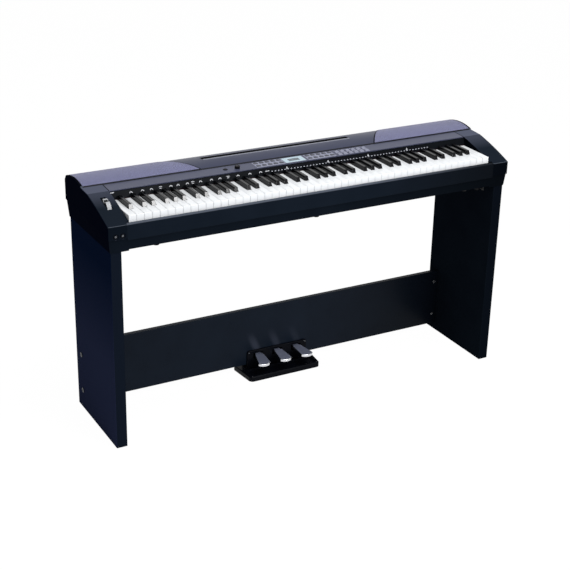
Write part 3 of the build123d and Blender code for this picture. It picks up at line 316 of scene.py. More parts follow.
lathe_lines = (300.0, 300.0, 2500.0)
bright_zinc = metal(
    "bright_zinc", (0.52, 0.53, 0.55), (0.74, 0.75, 0.76), lathe_lines,
    roughness=0.32, spread=0.1, depth=0.03 * MM,
)
dress(bright_zinc, "cross_dowels", "pedal_shaft")
blackened_steel = metal(
    "blackened_steel", (0.009, 0.011, 0.017), (0.020, 0.023, 0.031), lathe_lines,
    roughness=0.38, spread=0.1, depth=0.03 * MM,
)
dress(blackened_steel, "panel_bolts")
dull_zinc = metal(
    "dull_zinc", (0.15, 0.16, 0.18), (0.24, 0.25, 0.27), lathe_lines,
    roughness=0.42, spread=0.1, depth=0.03 * MM,
)

# Painted shade: a flat near-black for marks laid where a slot, recess, seam or gap lies in shade.
shadow_black = grained(
    "shadow_black", (0.004, 0.004, 0.005), (0.002, 0.002, 0.002), (0.010, 0.010, 0.010),
    roughness=0.7, spread=0.05, scale=500.0, depth=0.02 * MM, specular=0.01,
)


def add_piece(name, shape, material, body):
    """Put a modelled shape into the scene, riding a body of the piano."""
    bmesh.ops.recalc_face_normals(shape, faces=shape.faces)
    mesh = bpy.data.meshes.new(name)
    shape.to_mesh(mesh)
    shape.free()
    mesh.materials.append(material)
    piece = bpy.data.objects.new(name, mesh)
    bpy.context.scene.collection.objects.link(piece)
    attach(piece, body)


def raised_marks(name, outlines, origin, across, up, proud, material, slot, body="stand_and_case"):
    """Thin closed shapes on a face: each outline in the face's own axes, in millimetres."""
    origin, across, up = Vector(origin) * MM, Vector(across), Vector(up)
    out = across.cross(up)
    shape = bmesh.new()
    for outline in outlines:
        low = [shape.verts.new(origin + (across * u + up * v) * MM) for u, v in outline]
        high = [shape.verts.new(corner.co + out * proud * MM) for corner in low]
        shape.faces.new(high)
        shape.faces.new(low[::-1])
        for here in range(len(low)):
            after = (here + 1) % len(low)
            shape.faces.new((low[here], low[after], high[after], high[here]))
    add_piece(name, shape, material, body)


def bar(u, v, width, height, turn=0.0):
    """Rectangle outline about a point, turned by an angle in degrees."""
    c, s = math.cos(math.radians(turn)), math.sin(math.radians(turn))
    x, y = width / 2, height / 2
    return [(u + a * c - b * s, v + a * s + b * c) for a, b in ((-x, -y), (x, -y), (x, y), (-x, y))]


def disc(u, v, radius, sides=20):
    """Round outline about a point."""
    turns = [2 * math.pi * step / sides for step in range(sides)]
    return [(u + radius * math.cos(a), v + radius * math.sin(a)) for a in turns]


def cross_screws(name, spots, origin, axes, radius, height, arm, turns, depth, finish, slot):
    """Screw heads on a face, each with its cross recess of crossed arms painted in as dark shade."""
    heads = [disc(u, v, radius) for u, v in spots]
    raised_marks(f"{name}_screws", heads, origin, *axes, height, finish, slot)
    top = Vector(origin) + Vector(axes[0]).cross(Vector(axes[1])) * height
    crosses = [bar(u, v, *arm, turn) for u, v in spots for turn in turns]
    raised_marks(f"{name}_screw_recesses", crosses, top, *axes, depth, shadow_black, slot)


facing_player = ((1, 0, 0), (0, 0, 1))
dowel_x, bolt_crown_x, bolt_heights = 621.5, 674.0, (65.0, 187.0)
board_front, board_mid = 105.0, 113.0
driver_slot, socket_radius, dark_mark = (7.0, 1.3), 3.2, 0.06
# The dowels' driver slots and the bolts' hex sockets are painted in as dark shade.
dowel_slots = [bar(side * dowel_x, z, *driver_slot) for side in (-1, 1) for z in bolt_heights]
raised_marks(
    "dowel_slots", dowel_slots, (0, board_front, 0), *facing_player, dark_mark, shadow_black, "zinc_steel"
)
for side, word in ((-1, "left"), (1, "right")):
    sockets = [disc(side * board_mid, z, socket_radius, sides=6) for z in bolt_heights]
    raised_marks(
        f"{word}_bolt_sockets", sockets, (side * bolt_crown_x, 0, 0), (0, side, 0), (0, 0, 1), dark_mark,
        shadow_black, "black_steel",
    )

# Mounting angles and hand screws: folded steel strip, painted black, screwed inside the panel
# tops; four moulded hand screws come up through it into bosses in the piano's floor. The
# loudspeakers have the same black paint.
black_paint = grained(
    "black_paint", (0.010, 0.010, 0.012), (0.006, 0.006, 0.007), (0.10, 0.10, 0.10),
    roughness=0.42, spread=0.06, scale=500.0, depth=0.06 * MM, specular=0.3,
)
dress(black_paint, "mounting_angles", "speakers")
dress(black_nylon, "hand_screws")
angle_screw_z, angle_face_x, angle_screw_y = 603.0, 635.5, (-70.0, 0.0, 70.0)
for side, word in ((-1, "left"), (1, "right")):
    cross_screws(
        f"{word}_angle", [(-side * y, angle_screw_z) for y in angle_screw_y], (side * angle_face_x, 0, 0),
        ((0, -side, 0), (0, 0, 1)), radius=4.0, height=1.2, arm=(3.6, 0.8), turns=(45.0, -45.0), depth=0.05,
        finish=blackened_steel, slot="black_steel",
    )

# Pedal base and housing: glossy black injection mouldings. The base stands on the floor with
# a sunk tray in front; the housing passes through the board behind a screwed-on bezel.
black_moulding = grained(
    "black_moulding", (0.0026, 0.0032, 0.0056), (0.0018, 0.0022, 0.0040), (0.022, 0.025, 0.034),
    roughness=0.25, spread=0.05, scale=1200.0, depth=0.03 * MM, specular=0.04, radius=1.0 * MM,
)
dress(black_moulding, "pedal_base", "pedal_housing")
facing_up = ((1, 0, 0), (0, 1, 0))
base_top, base_corners = 17.0, [(-119.0, 42.2), (119.0, 42.2)]
bezel_front, bezel_corners = 98.0, [(-104.5, 72.5), (104.5, 72.5)]
for name, spots, origin, axes in (
    ("pedal_base", base_corners, (0, 0, base_top), facing_up),
    ("pedal_bezel", bezel_corners, (0, bezel_front, 0), facing_player),
):
    cross_screws(
        name, spots, origin, axes, radius=1.9, height=0.9, arm=(2.4, 0.5), turns=(20.0, 110.0), depth=0.04,
        finish=dull_zinc, slot="zinc_steel",
    )

# Pedals and their springs: three cast pedals, bead-blasted grey on top and polished round the
# bowed front edge, each pressed up by a strip of blued spring steel.
upward_face, given, result = start_group(
    "upward_face",
    [("Level", FLOAT, 0.9), ("Full", FLOAT, 1.0)],
    [("Up", FLOAT)],
)
lean = parts_of(upward_face, "Normal")
share = ranged(upward_face, lean["Z"], given.outputs["Level"], given.outputs["Full"])
upward_face.links.new(share, result.inputs["Up"])

pedal_cast = grained(
    "pedal_cast", (0.154, 0.170, 0.235), (0.100, 0.111, 0.158), (0.26, 0.275, 0.36),
    roughness=0.55, spread=0.10, scale=1100.0, depth=0.25 * MM, specular=0.4, radius=0.5 * MM,
)
polish_color, polish_gloss = (0.66, 0.67, 0.70), 0.10
tree = pedal_cast.node_tree
shader = tree.nodes["Principled BSDF"]
top = put(tree, "ShaderNodeGroup", {"Level": 0.90, "Full": 0.97}, node_tree=upward_face)
bare = reckoned(tree, "SUBTRACT", 1.0, top.outputs["Up"])
paint_over(pedal_cast, bare, polish_color)
blasted_gloss = shader.inputs["Roughness"].links[0].from_socket
gloss = put(
    tree, "ShaderNodeMix", {0: top.outputs["Up"], 2: polish_gloss, 3: blasted_gloss}, data_type="FLOAT"
)
tree.links.new(gloss.outputs[0], shader.inputs["Roughness"])
tree.links.new(bare, shader.inputs["Metallic"])
dress(pedal_cast, "left_pedal", "middle_pedal", "right_pedal")
rolled_lines = (300.0, 2500.0, 300.0)
blued_steel = metal(
    "blued_steel", (0.10, 0.11, 0.15), (0.20, 0.21, 0.26), rolled_lines,
    roughness=0.35, spread=0.1, depth=0.03 * MM,
)
dress(blued_steel, "pedal_springs")

# Lower case: drafted injection-moulded tray in matt black with a spark-eroded grain. It is
# closed to the upper case by screws from below, and rests on round rubber feet or the stand.
lower_black = grained(
    "lower_black", (0.0052, 0.0079, 0.0127), (0.0040, 0.0062, 0.0102), (0.016, 0.019, 0.027),
    roughness=0.45, spread=0.06, scale=1100.0, depth=0.06 * MM, specular=0.0002, radius=1.0 * MM,
)
# Painted shade: a tone that deepens to the right, and outer end faces painted darker.
deepen_right(lower_black, (0.0020, 0.0029, 0.0043), start=0.0)
tint_outside(lower_black, (0.0006, 0.0014, 0.0056), level=0.4)
dress(lower_black, "lower_case")
black_rubber = grained(
    "black_rubber", (0.010, 0.010, 0.010), (0.006, 0.006, 0.006), (0.030, 0.030, 0.030),
    roughness=0.8, spread=0.06, scale=800.0, depth=0.06 * MM, specular=0.2,
)
dress(black_rubber, "rubber_feet")
facing_down = ((1, 0, 0), (0, -1, 0))
case_floor_z, well_radius, well_height = 625.0, 5.0, 0.1
head_radius, head_height = 3.0, 0.5
case_screw_end, case_screw_pitch, case_screw_y = 560, 160, (-95.0, 20.0, 120.0)
case_screw_x = range(-case_screw_end, case_screw_end + 1, case_screw_pitch)
case_screw_spots = [(x, -y) for x in case_screw_x for y in case_screw_y]
# Dark wells round the screw heads are painted shade.
raised_marks(
    "case_screw_wells", [disc(u, v, well_radius) for u, v in case_screw_spots], (0, 0, case_floor_z),
    *facing_down, well_height, shadow_black, "black_plastic",
)
raised_marks(
    "case_screws", [disc(u, v, head_radius) for u, v in case_screw_spots], (0, 0, case_floor_z - well_height),
    *facing_down, head_height, bright_zinc, "zinc_steel",
)

# Upper case, end cheeks, front rail and key chassis: black mouldings. The outer ones are paler slate
# on their level tops, thinning out down the curve to the black sides: partly their own coat, partly painted
# light.


def coat_and_light_on_tops(material, coat, level, full):
    """Lay a paler colour on faces that look up, fading out where a face leans too far: painted light, on the
    case tops partly their own coat.
    """
    top = put(material.node_tree, "ShaderNodeGroup", {"Level": level, "Full": full}, node_tree=upward_face)
    paint_over(material, top.outputs["Up"], coat)


cover_slate = grained(
    "cover_slate", (0.0045, 0.0050, 0.0080), (0.0034, 0.0038, 0.0062), (0.036, 0.041, 0.066),
    roughness=0.40, spread=0.05, scale=1300.0, depth=0.05 * MM, specular=0.14, radius=1.5 * MM,
)
coat_and_light_on_tops(cover_slate, (0.031, 0.036, 0.068), level=0.87, full=0.94)
dress(cover_slate, "upper_case")

cheek_slate = grained(
    "cheek_slate", (0.0048, 0.0074, 0.0122), (0.0036, 0.0058, 0.0098), (0.016, 0.019, 0.028),
    roughness=0.42, spread=0.05, scale=1300.0, depth=0.05 * MM, specular=0.0002, radius=1.2 * MM,
)
# Painted light and shade: deeper to the right, paler on upward faces, a painted highlight along the front
# bend, and the outer sides painted near black as shade.
deepen_right(cheek_slate, (0.0016, 0.0024, 0.0040), start=0.0)
coat_and_light_on_tops(cheek_slate, (0.0095, 0.0135, 0.0205), level=0.55, full=0.80)
coat_and_light_on_tops(cheek_slate, (0.084, 0.093, 0.132), level=0.958, full=0.998)
tree = cheek_slate.node_tree
crease_y, plate_black, bend_highlight = 38.3, (0.0030, 0.0034, 0.0055), (0.064, 0.076, 0.095)
end_plates = reckoned(tree, "GREATER_THAN", parts_of(tree, "Object")["Y"], crease_y * MM)
paint_over(cheek_slate, end_plates, plate_black)
front_bend, given, result = start_group(
    "front_bend", [("Level", FLOAT, 0.42), ("Full", FLOAT, 0.48)], [("Bend", FLOAT)]
)
lean = parts_of(front_bend, "Normal")
turning = reckoned(front_bend, "MULTIPLY", lean["Y"], lean["Z"])
forward = reckoned(front_bend, "MULTIPLY", turning, -1.0)
share = ranged(front_bend, forward, given.outputs["Level"], given.outputs["Full"])
front_bend.links.new(share, result.inputs["Bend"])
bend = put(tree, "ShaderNodeGroup", node_tree=front_bend)
paint_over(cheek_slate, bend.outputs["Bend"], bend_highlight)
tint_outside(cheek_slate, (0.0005, 0.0013, 0.0056), level=0.4)
dress(cheek_slate, "left_end_cheek", "right_end_cheek")

rail_black = grained(
    "rail_black", (0.0056, 0.0092, 0.0157), (0.0042, 0.0072, 0.0126), (0.024, 0.027, 0.036),
    roughness=0.42, spread=0.05, scale=1300.0, depth=0.05 * MM, specular=0.015, radius=1.2 * MM,
)
# A painted highlight along the rail's rounded top, and a tone deepening to the right as painted shade.
coat_and_light_on_tops(rail_black, (0.064, 0.074, 0.096), level=0.30, full=0.60)
deepen_right(rail_black, (0.0022, 0.0032, 0.0050), start=0.15)
dress(rail_black, "front_rail")
dress(black_moulding, "key_chassis")

# Music rest slot: a 514 mm long pocket in the cover that takes the foot of a plug-in rest. Its
# near-black lining and a thin dark lip along both edges are painted shade, and a pale bead in front is
# a painted highlight along its front edge.


def swept(name, rings, material, body="stand_and_case"):
    """Solid strip through a row of closed cross sections, given in millimetres."""
    shape = bmesh.new()
    rows = [[shape.verts.new(Vector(point) * MM) for point in ring] for ring in rings]
    count = len(rows[0])
    for here, after in zip(rows, rows[1:]):
        for side in range(count):
            nearby = (side + 1) % count
            shape.faces.new((here[side], here[nearby], after[nearby], after[side]))
    shape.faces.new(rows[0][::-1])
    shape.faces.new(rows[-1])
    add_piece(name, shape, material, body)


# The cover's arch runs through three points, each a depth and a height.
lip, peak, brow = (42.0, 752.568), (101.0, 759.5), (160.0, 749.5)


def cover_height(y):
    """Height of the cover's arched top at a depth, in millimetres."""
    (ay, az), (by, bz), (cy, cz) = lip, peak, brow
    cross = 2.0 * (ay * (bz - cz) + by * (cz - az) + cy * (az - bz))
    a, b, c = ay * ay + az * az, by * by + bz * bz, cy * cy + cz * cz
    middle_y = (a * (bz - cz) + b * (cz - az) + c * (az - bz)) / cross
    middle_z = (a * (cy - by) + b * (ay - cy) + c * (by - ay)) / cross
    radius = math.hypot(peak[0] - middle_y, peak[1] - middle_z)
    return middle_z + math.sqrt(radius * radius - (y - middle_y) ** 2)


slot_x, slot_half, slot_y, slot_width = -12.0, 257.0, 112.0, 12.0
slot_floor_z, slot_wall_z, slot_wall_height, slot_play = 739.5, 748.5, 17.0, 0.6
slot_length = 2 * slot_half - slot_play
slot_front, slot_rear = slot_y - slot_width / 2, slot_y + slot_width / 2
floor_shade_sheet, wall_shade_sheet = 0.4, 0.1
raised_marks(
    "rest_slot_floor_shade", [bar(slot_x, slot_y, slot_length, slot_width - slot_play)], (0, 0, slot_floor_z),
    *facing_up, floor_shade_sheet, shadow_black, "black_plastic",
)
raised_marks(
    "rest_slot_wall_shade", [bar(slot_x, slot_wall_z, slot_length, slot_wall_height)], (0, slot_rear, 0),
    *facing_player, wall_shade_sheet, shadow_black, "black_plastic",
)
slot_highlight_pearl = grained(
    "slot_highlight_pearl", (0.150, 0.158, 0.200), (0.128, 0.136, 0.176), (0.20, 0.21, 0.25),
    roughness=0.35, spread=0.05, scale=1500.0, depth=0.02 * MM, specular=0.3, radius=0.3 * MM,
)
lip_front, lip_rear, lip_rise = 4.0, 5.0, 0.3
bead_rear, bead_width, bead_rise = slot_front - lip_front, 9.0, 0.8
strip_hem, strip_sink = 0.05, 0.3
for name, start, end, rise, finish, slot in (
    ("rest_slot_front_shade_lip", bead_rear, slot_front, lip_rise, shadow_black, "black_rubber"),
    ("rest_slot_rear_shade_lip", slot_rear, slot_rear + lip_rear, lip_rise, shadow_black, "black_rubber"),
    ("rest_slot_highlight_bead", bead_rear - bead_width, bead_rear, bead_rise, slot_highlight_pearl, "case_plastic"),
):
    top_points = [start + (end - start) * share for share in (0.0, 0.15, 0.4, 0.6, 0.85, 1.0)]
    rises = (strip_hem, 0.8 * rise, rise, rise, 0.8 * rise, strip_hem)
    strip_rings = []
    for x in (slot_x - slot_half, slot_x + slot_half):
        crown = [(x, y, cover_height(y) + dz) for y, dz in zip(top_points, rises)]
        foot = [(x, y, cover_height(y) - strip_sink) for y in (end, start)]
        strip_rings.append(crown + foot)
    swept(name, strip_rings, finish)

# Speaker grilles: thin steel sheet, finely perforated and painted slate lilac, arched over
# the loudspeaker openings. A dark strip at each slanted inner end is painted shade in the gap there.
perforation, given, result = start_group(
    "perforation",
    [("Pitch", FLOAT, 2.4 * MM), ("Hole", FLOAT, 0.28)],
    [("Open", FLOAT), ("Height", FLOAT)],
)
row_spacing, hole_bevel = math.sqrt(3.0), 1.35
spot = put(perforation, "ShaderNodeTexCoord").outputs["Object"]
cells = reckoned(perforation, "DIVIDE", 1.0, given.outputs["Pitch"])
flat = vectored(perforation, "MULTIPLY", spot, (1.0, 1.0 / row_spacing, 0.0)).outputs[0]
grid = put(perforation, "ShaderNodeVectorMath", {0: flat, "Scale": cells}, operation="SCALE").outputs[0]
reaches = []
for shift in (0.0, 0.5):
    moved = vectored(perforation, "ADD", grid, (shift, shift, 0.0)).outputs[0]
    wrapped = vectored(perforation, "FRACTION", moved).outputs[0]
    centred = vectored(perforation, "SUBTRACT", wrapped, (0.5, 0.5, 0.0)).outputs[0]
    square = vectored(perforation, "MULTIPLY", centred, (1.0, row_spacing, 0.0)).outputs[0]
    reaches.append(vectored(perforation, "LENGTH", square).outputs["Value"])
nearest = reckoned(perforation, "MINIMUM", *reaches)
rim = reckoned(perforation, "MULTIPLY", given.outputs["Hole"], hole_bevel)
inside = ranged(perforation, nearest, rim, given.outputs["Hole"])
perforation.links.new(inside, result.inputs["Open"])
perforation.links.new(reckoned(perforation, "SUBTRACT", 1.0, inside), result.inputs["Height"])

lilac_mesh = grained(
    "lilac_mesh", (0.205, 0.213, 0.385), (0.175, 0.183, 0.340), (0.32, 0.33, 0.50),
    roughness=0.45, spread=0.06, scale=1500.0, depth=0.02 * MM, specular=0.35, radius=1.2 * MM,
)
tree = lilac_mesh.node_tree
# Painted shade: the perforations are dark dots, the shade behind the sheet, with a matching bump.
holes = put(tree, "ShaderNodeGroup", {"Pitch": 2.4 * MM, "Hole": 0.27}, node_tree=perforation)
paint_over(lilac_mesh, holes.outputs["Open"], (0.012, 0.012, 0.018))
face = tree.nodes["Principled BSDF"].inputs["Normal"]
punched = bumped(tree, holes.outputs["Height"], face.links[0].from_socket, strength=0.6, depth=0.5 * MM)
tree.links.new(punched, face)
dress(lilac_mesh, "left_speaker_grille", "right_speaker_grille")

gap_shade_black = grained(
    "gap_shade_black", (0.0040, 0.0042, 0.0060), (0.0020, 0.0022, 0.0032), (0.010, 0.010, 0.013),
    roughness=0.85, spread=0.05, scale=700.0, depth=0.3 * MM, specular=0.05, radius=0.3 * MM,
)
grille_front_x, grille_rear_x, grille_bow, shade_strip_steps = 306.0, 397.0, 5.0, 24
shade_strip_width, shade_strip_height, shade_strip_sink, shade_strip_lap = 4.2, 1.2, 0.3, 0.1
for side, word in ((-1, "left"), (1, "right")):
    shade_strip_rings = []
    for step in range(shade_strip_steps + 1):
        t = step / shade_strip_steps
        y = lip[0] + t * (brow[0] - lip[0])
        x = grille_front_x + t * (grille_rear_x - grille_front_x) - 4.0 * grille_bow * t * (1.0 - t)
        low, high = cover_height(y) - shade_strip_sink, cover_height(y) + shade_strip_height
        outer, inner = side * (x + shade_strip_lap), side * (x - shade_strip_width)
        shade_strip_rings.append([(inner, y, low), (outer, y, low), (outer, y, high), (inner, y, high)])
    swept(f"{word}_grille_gap_shade", shade_strip_rings, gap_shade_black)

# Control panel: slate moulding let in between the cheeks, with a fine satin grain. The button
# groups lie on pale printed fields; the two ends of the panel are plain.
slate_panel = grained(
    "slate_panel", (0.046, 0.052, 0.094), (0.039, 0.044, 0.080), (0.11, 0.118, 0.17),
    roughness=0.42, spread=0.05, scale=1500.0, depth=0.04 * MM, specular=0.32, radius=0.8 * MM,
)
dress(slate_panel, "control_panel")
panel_tilt, panel_foot = math.radians(3.0), (0, -11.0, 747.5)
panel_axes = (panel_foot, (1, 0, 0), (0, math.cos(panel_tilt), math.sin(panel_tilt)))
print_grey = grained(
    "print_grey", (0.40, 0.41, 0.46), (0.34, 0.35, 0.40), (0.46, 0.47, 0.52),
    roughness=0.6, spread=0.04, scale=2500.0, depth=0.01 * MM, specular=0.2, radius=0.05 * MM,
)
# Dark lines at both ends of the panel are painted shade in the seams to the cheeks.
seam_x, seam_reach, seam_width, seam_length = 611.6, 24.6, 2.6, 49.0
field_print, line_print, label_print = 0.04, 0.05, 0.08
panel_seams = [bar(side * seam_x, seam_reach, seam_width, seam_length) for side in (-1, 1)]
raised_marks("panel_seams", panel_seams, *panel_axes, line_print, shadow_black, "black_plastic")
print_pale = grained(
    "print_pale", (0.260, 0.270, 0.350), (0.225, 0.235, 0.310), (0.30, 0.31, 0.39),
    roughness=0.5, spread=0.04, scale=2500.0, depth=0.01 * MM, specular=0.2, radius=0.05 * MM,
)
print_dark = grained(
    "print_dark", (0.022, 0.025, 0.040), (0.016, 0.019, 0.032), (0.03, 0.034, 0.05),
    roughness=0.6, spread=0.04, scale=2500.0, depth=0.01 * MM, specular=0.1, radius=0.05 * MM,
)
# Each group of buttons: its first column, its number of columns and the width of its fields.
button_groups = ((-128.0, 5, 19.5), (50.0, 5, 19.5), (154.0, 6, 13.5))
button_rows, button_pitch, zone_reach, zone_length = (14.0, 35.0), 19.5, 24.0, 41.0
label_gap, label_width, label_height = 8.6, 9.0, 2.0
button_zones, button_labels = [], []
for first, columns, zone_width in button_groups:
    for column in range(columns):
        u = first + column * button_pitch
        button_zones.append(bar(u, zone_reach, zone_width, zone_length))
        button_labels += [bar(u, row + label_gap, label_width, label_height) for row in button_rows]
raised_marks("button_zones", button_zones, *panel_axes, field_print, print_pale, "panel_plastic")
raised_marks("button_labels", button_labels, *panel_axes, label_print, print_dark, "panel_plastic")
knob_x, knob_reach, power_x, power_reach = -196.0, 22.0, -234.0, 26.0
dial_radius, dial_length, dial_line = 11.0, 2.2, 0.5
dial_first, dial_last, dial_step = -60, 240, 30
panel_lines = []
for turn in range(dial_first, dial_last + 1, dial_step):
    u = knob_x + dial_radius * math.cos(math.radians(turn))
    v = knob_reach + dial_radius * math.sin(math.radians(turn))
    panel_lines.append(bar(u, v, dial_length, dial_line, turn))
power_mark_gap, power_mark = 9.5, (0.6, 3.0)
panel_lines.append(bar(power_x, power_reach + power_mark_gap, *power_mark))
raised_marks("panel_lines", panel_lines, *panel_axes, line_print, print_grey, "panel_plastic")


def ring(u, v, inner, outer, sides=20):
    """Flat ring about a point, as a row of four-sided outlines."""
    small, large = disc(u, v, inner, sides), disc(u, v, outer, sides)
    return [(small[k - 1], large[k - 1], large[k], small[k]) for k in range(sides)]


# A dark ring round the power button is painted shade in the gap round it.
power_ring, ring_height = ring(power_x, power_reach, inner=6.4, outer=7.6), 0.2
raised_marks("power_ring", power_ring, *panel_axes, ring_height, shadow_black, "black_plastic")

# Display and control board: a pale blue bezel with a sunk window over a liquid crystal panel,
# on a lacquered circuit board that hangs under the control panel.
pale_bezel = grained(
    "pale_bezel", (0.42, 0.54, 0.61), (0.38, 0.49, 0.56), (0.54, 0.64, 0.70),
    roughness=0.35, spread=0.04, scale=1500.0, depth=0.02 * MM, specular=0.4, radius=0.6 * MM,
)
dress(pale_bezel, "display_module")
green_lacquer = grained(
    "green_lacquer", (0.012, 0.085, 0.035), (0.008, 0.060, 0.026), (0.20, 0.16, 0.08),
    roughness=0.3, spread=0.05, scale=600.0, depth=0.03 * MM, specular=0.5,
)
dress(green_lacquer, "control_board")
crystal_dark = grained(
    "crystal_dark", (0.020, 0.026, 0.036), (0.014, 0.020, 0.028), (0.03, 0.04, 0.05),
    roughness=0.25, spread=0.03, scale=1800.0, depth=0.005 * MM, specular=0.2, radius=0.05 * MM,
)
crystal_light = grained(
    "crystal_light", (0.150, 0.180, 0.200), (0.130, 0.158, 0.178), (0.17, 0.20, 0.22),
    roughness=0.25, spread=0.03, scale=1800.0, depth=0.005 * MM, specular=0.2, radius=0.05 * MM,
)


def outline_bars(u, v, width, height, line):
    """Four thin bars round a rectangle."""
    return [
        bar(u, v - height / 2, width + line, line),
        bar(u, v + height / 2, width + line, line),
        bar(u - width / 2, v, line, height - line),
        bar(u + width / 2, v, line, height - line),
    ]


display_x, display_reach, glass_sink, glass_height = -3.0, 25.0, 0.8, 0.3
normal = Vector(panel_axes[1]).cross(Vector(panel_axes[2]))
window_axes = (Vector(panel_foot) - normal * glass_sink, *panel_axes[1:])
raised_marks(
    "display_window", [bar(display_x, display_reach, width=36.8, height=17.8)], *window_axes, glass_height,
    crystal_light, "display_plastic",
)
digit_axes = (Vector(panel_foot) - normal * (glass_sink - glass_height), *panel_axes[1:])
digit_x, digit_pitch, digit_print = display_x + 1.5, 5.5, 0.03
thin, level_length, upright_length = 0.6, 2.6, 3.4
segments = outline_bars(display_x, display_reach, width=34.6, height=15.6, line=2.0)
for digit in range(3):
    u = digit_x + digit * digit_pitch
    segments += [bar(u, display_reach + dv, level_length, thin) for dv in (-4.4, 0.0, 4.4)]
    for du in (-1.7, 1.7):
        segments += [bar(u + du, display_reach + dv, thin, upright_length) for dv in (-2.2, 2.2)]
row_x, row_width, row_height = display_x - 10.0, 9.0, 0.8
segments += [bar(row_x, display_reach + dv, row_width, row_height) for dv in (-4.0, -1.0, 2.0, 5.0)]
raised_marks("display_segments", segments, *digit_axes, digit_print, crystal_dark, "display_plastic")

# Volume knob, power button and button caps: small mouldings in satin black, dark grey and pale
# grey, the knob with a pale pointer line in its notch, the caps paler at their edges, partly worn and partly
# painted highlight.
knob_black = grained(
    "knob_black", (0.006, 0.006, 0.008), (0.004, 0.004, 0.005), (0.012, 0.012, 0.015),
    roughness=0.38, spread=0.05, scale=1500.0, depth=0.03 * MM, specular=0.05, radius=0.4 * MM,
)
dress(knob_black, "volume_knob", "power_button")
cap_grey = grained(
    "cap_grey", (0.040, 0.043, 0.058), (0.032, 0.035, 0.048), (0.14, 0.145, 0.18),
    roughness=0.45, spread=0.05, scale=1800.0, depth=0.03 * MM, specular=0.35, radius=0.5 * MM,
)
dress(cap_grey, "left_buttons", "centre_buttons")
cap_pale = grained(
    "cap_pale", (0.220, 0.230, 0.300), (0.190, 0.200, 0.265), (0.34, 0.35, 0.42),
    roughness=0.45, spread=0.05, scale=1800.0, depth=0.03 * MM, specular=0.35, radius=0.5 * MM,
)
dress(cap_pale, "right_buttons")
notch_floor, pointer_height, pointer_gap, pointer = 7.4, 0.3, 4.0, (0.9, 6.8)
knob_notch = Vector(panel_foot) + normal * notch_floor
raised_marks(
    "knob_pointer", [bar(knob_x, knob_reach + pointer_gap, *pointer)], knob_notch, *panel_axes[1:],
    pointer_height, print_grey, "black_plastic", body="volume_knob",
)

# Nameboard: black strip that leans back between the keys and the control panel, printed with
# small white and grey marks over the keys. A dark red felt lies along its foot.
nameboard_black = grained(
    "nameboard_black", (0.0046, 0.0056, 0.0074), (0.0034, 0.0042, 0.0056), (0.020, 0.022, 0.028),
    roughness=0.35, spread=0.05, scale=1300.0, depth=0.03 * MM, specular=0.02, radius=0.6 * MM,
)
dress(nameboard_black, "nameboard")
print_white = grained(
    "print_white", (0.52, 0.53, 0.56), (0.46, 0.47, 0.50), (0.58, 0.58, 0.61),
    roughness=0.6, spread=0.04, scale=2500.0, depth=0.01 * MM, specular=0.2, radius=0.05 * MM,
)
board_foot, board_top_edge = Vector((0, -19.321, 723.0)), Vector((0, -12.155, 744.1))
board_axes = (board_foot, (1, 0, 0), (board_top_edge - board_foot).normalized())
mark_places = (
    -547.5, -512.0, -484.5, -456.0, -423.5, -401.0, -371.0, -353.5,
    -329.0, -293.5, -266.0, -239.0, -206.5, -167.0, -131.0,
)
bold_marks = [bar(-604.5, 19.0, width=12.0, height=2.6), bar(-108.0, 13.0, width=13.0, height=2.6)]
for count, u in enumerate(mark_places):
    if count % 4 == 3:
        bold_marks += [bar(u, 15.5, width=10.0, height=2.0), bar(u, 11.0, width=6.5, height=2.0)]
    else:
        bold_marks += ring(u, 10.5, inner=2.7, outer=5.0)[1:11]
arrow_half, arrow_foot, arrow_tip = 3.6, 11.5, 18.5
for u in (-41.0, 103.0, 247.0, 391.0):
    bold_marks.append([(u - arrow_half, arrow_foot), (u + arrow_half, arrow_foot), (u, arrow_tip)])
tick_first, tick_pitch, tick_count = -92.0, 11.0, 52
tick_places = [tick_first + tick_pitch * count for count in range(tick_count)]
fine_ticks = [bar(u, 10.0, width=4.4, height=2.4) for u in tick_places]
raised_marks("nameboard_marks", bold_marks, *board_axes, line_print, print_white, "black_plastic")
raised_marks("nameboard_ticks", fine_ticks, *board_axes, line_print, print_grey, "black_plastic")

red_felt = grained(
    "red_felt", (0.018, 0.003, 0.004), (0.012, 0.002, 0.003), (0.028, 0.006, 0.007),
    roughness=0.95, spread=0.04, scale=2200.0, depth=0.4 * MM, specular=0.1, radius=0.5 * MM,
)
felt_start, felt_length = (-612.5, -19.321, 721.0), 1225.0
felt_section = [(-0.9, 0.25), (2.4, 0.25), (2.4, 1.95), (-0.3, 2.1), (-0.9, 1.6)]
raised_marks(
    "key_felt", [felt_section], felt_start, (0, 1, 0), (0, 0, 1), felt_length, red_felt, "black_plastic"
)

# Pitch wheel: moulded wheel, 14 mm wide, that turns on stub axles in the left cheek. Its rim
# is light grey and ribbed for grip beside one smooth finger notch; its sides are painted near black
# as the shade in the well round it, and a dark sheet in the notch is painted shade.
wheel_grey = grained(
    "wheel_grey", (0.42, 0.43, 0.45), (0.36, 0.37, 0.39), (0.62, 0.63, 0.65),
    roughness=0.35, spread=0.05, scale=900.0, depth=0.04 * MM, specular=0.4, radius=0.6 * MM,
)
tree = wheel_grey.node_tree
sideways = reckoned(tree, "ABSOLUTE", parts_of(tree, "Normal")["X"])
side_level, side_shade_black = 0.5, (0.004, 0.004, 0.006)
paint_over(wheel_grey, reckoned(tree, "GREATER_THAN", sideways, side_level), side_shade_black)
dress(wheel_grey, "pitch_wheel")
wheel_x, wheel_y, wheel_z, wheel_radius = -642.0, -61.0, 711.0, 32.0
notch_lean, notch_half, rib_reach, rib_pitch = 12.0, 17.0, 9, 7.0
rib_width, rib_line, rib_sink, rib_height = 11.5, 1.5, 0.1, 0.45
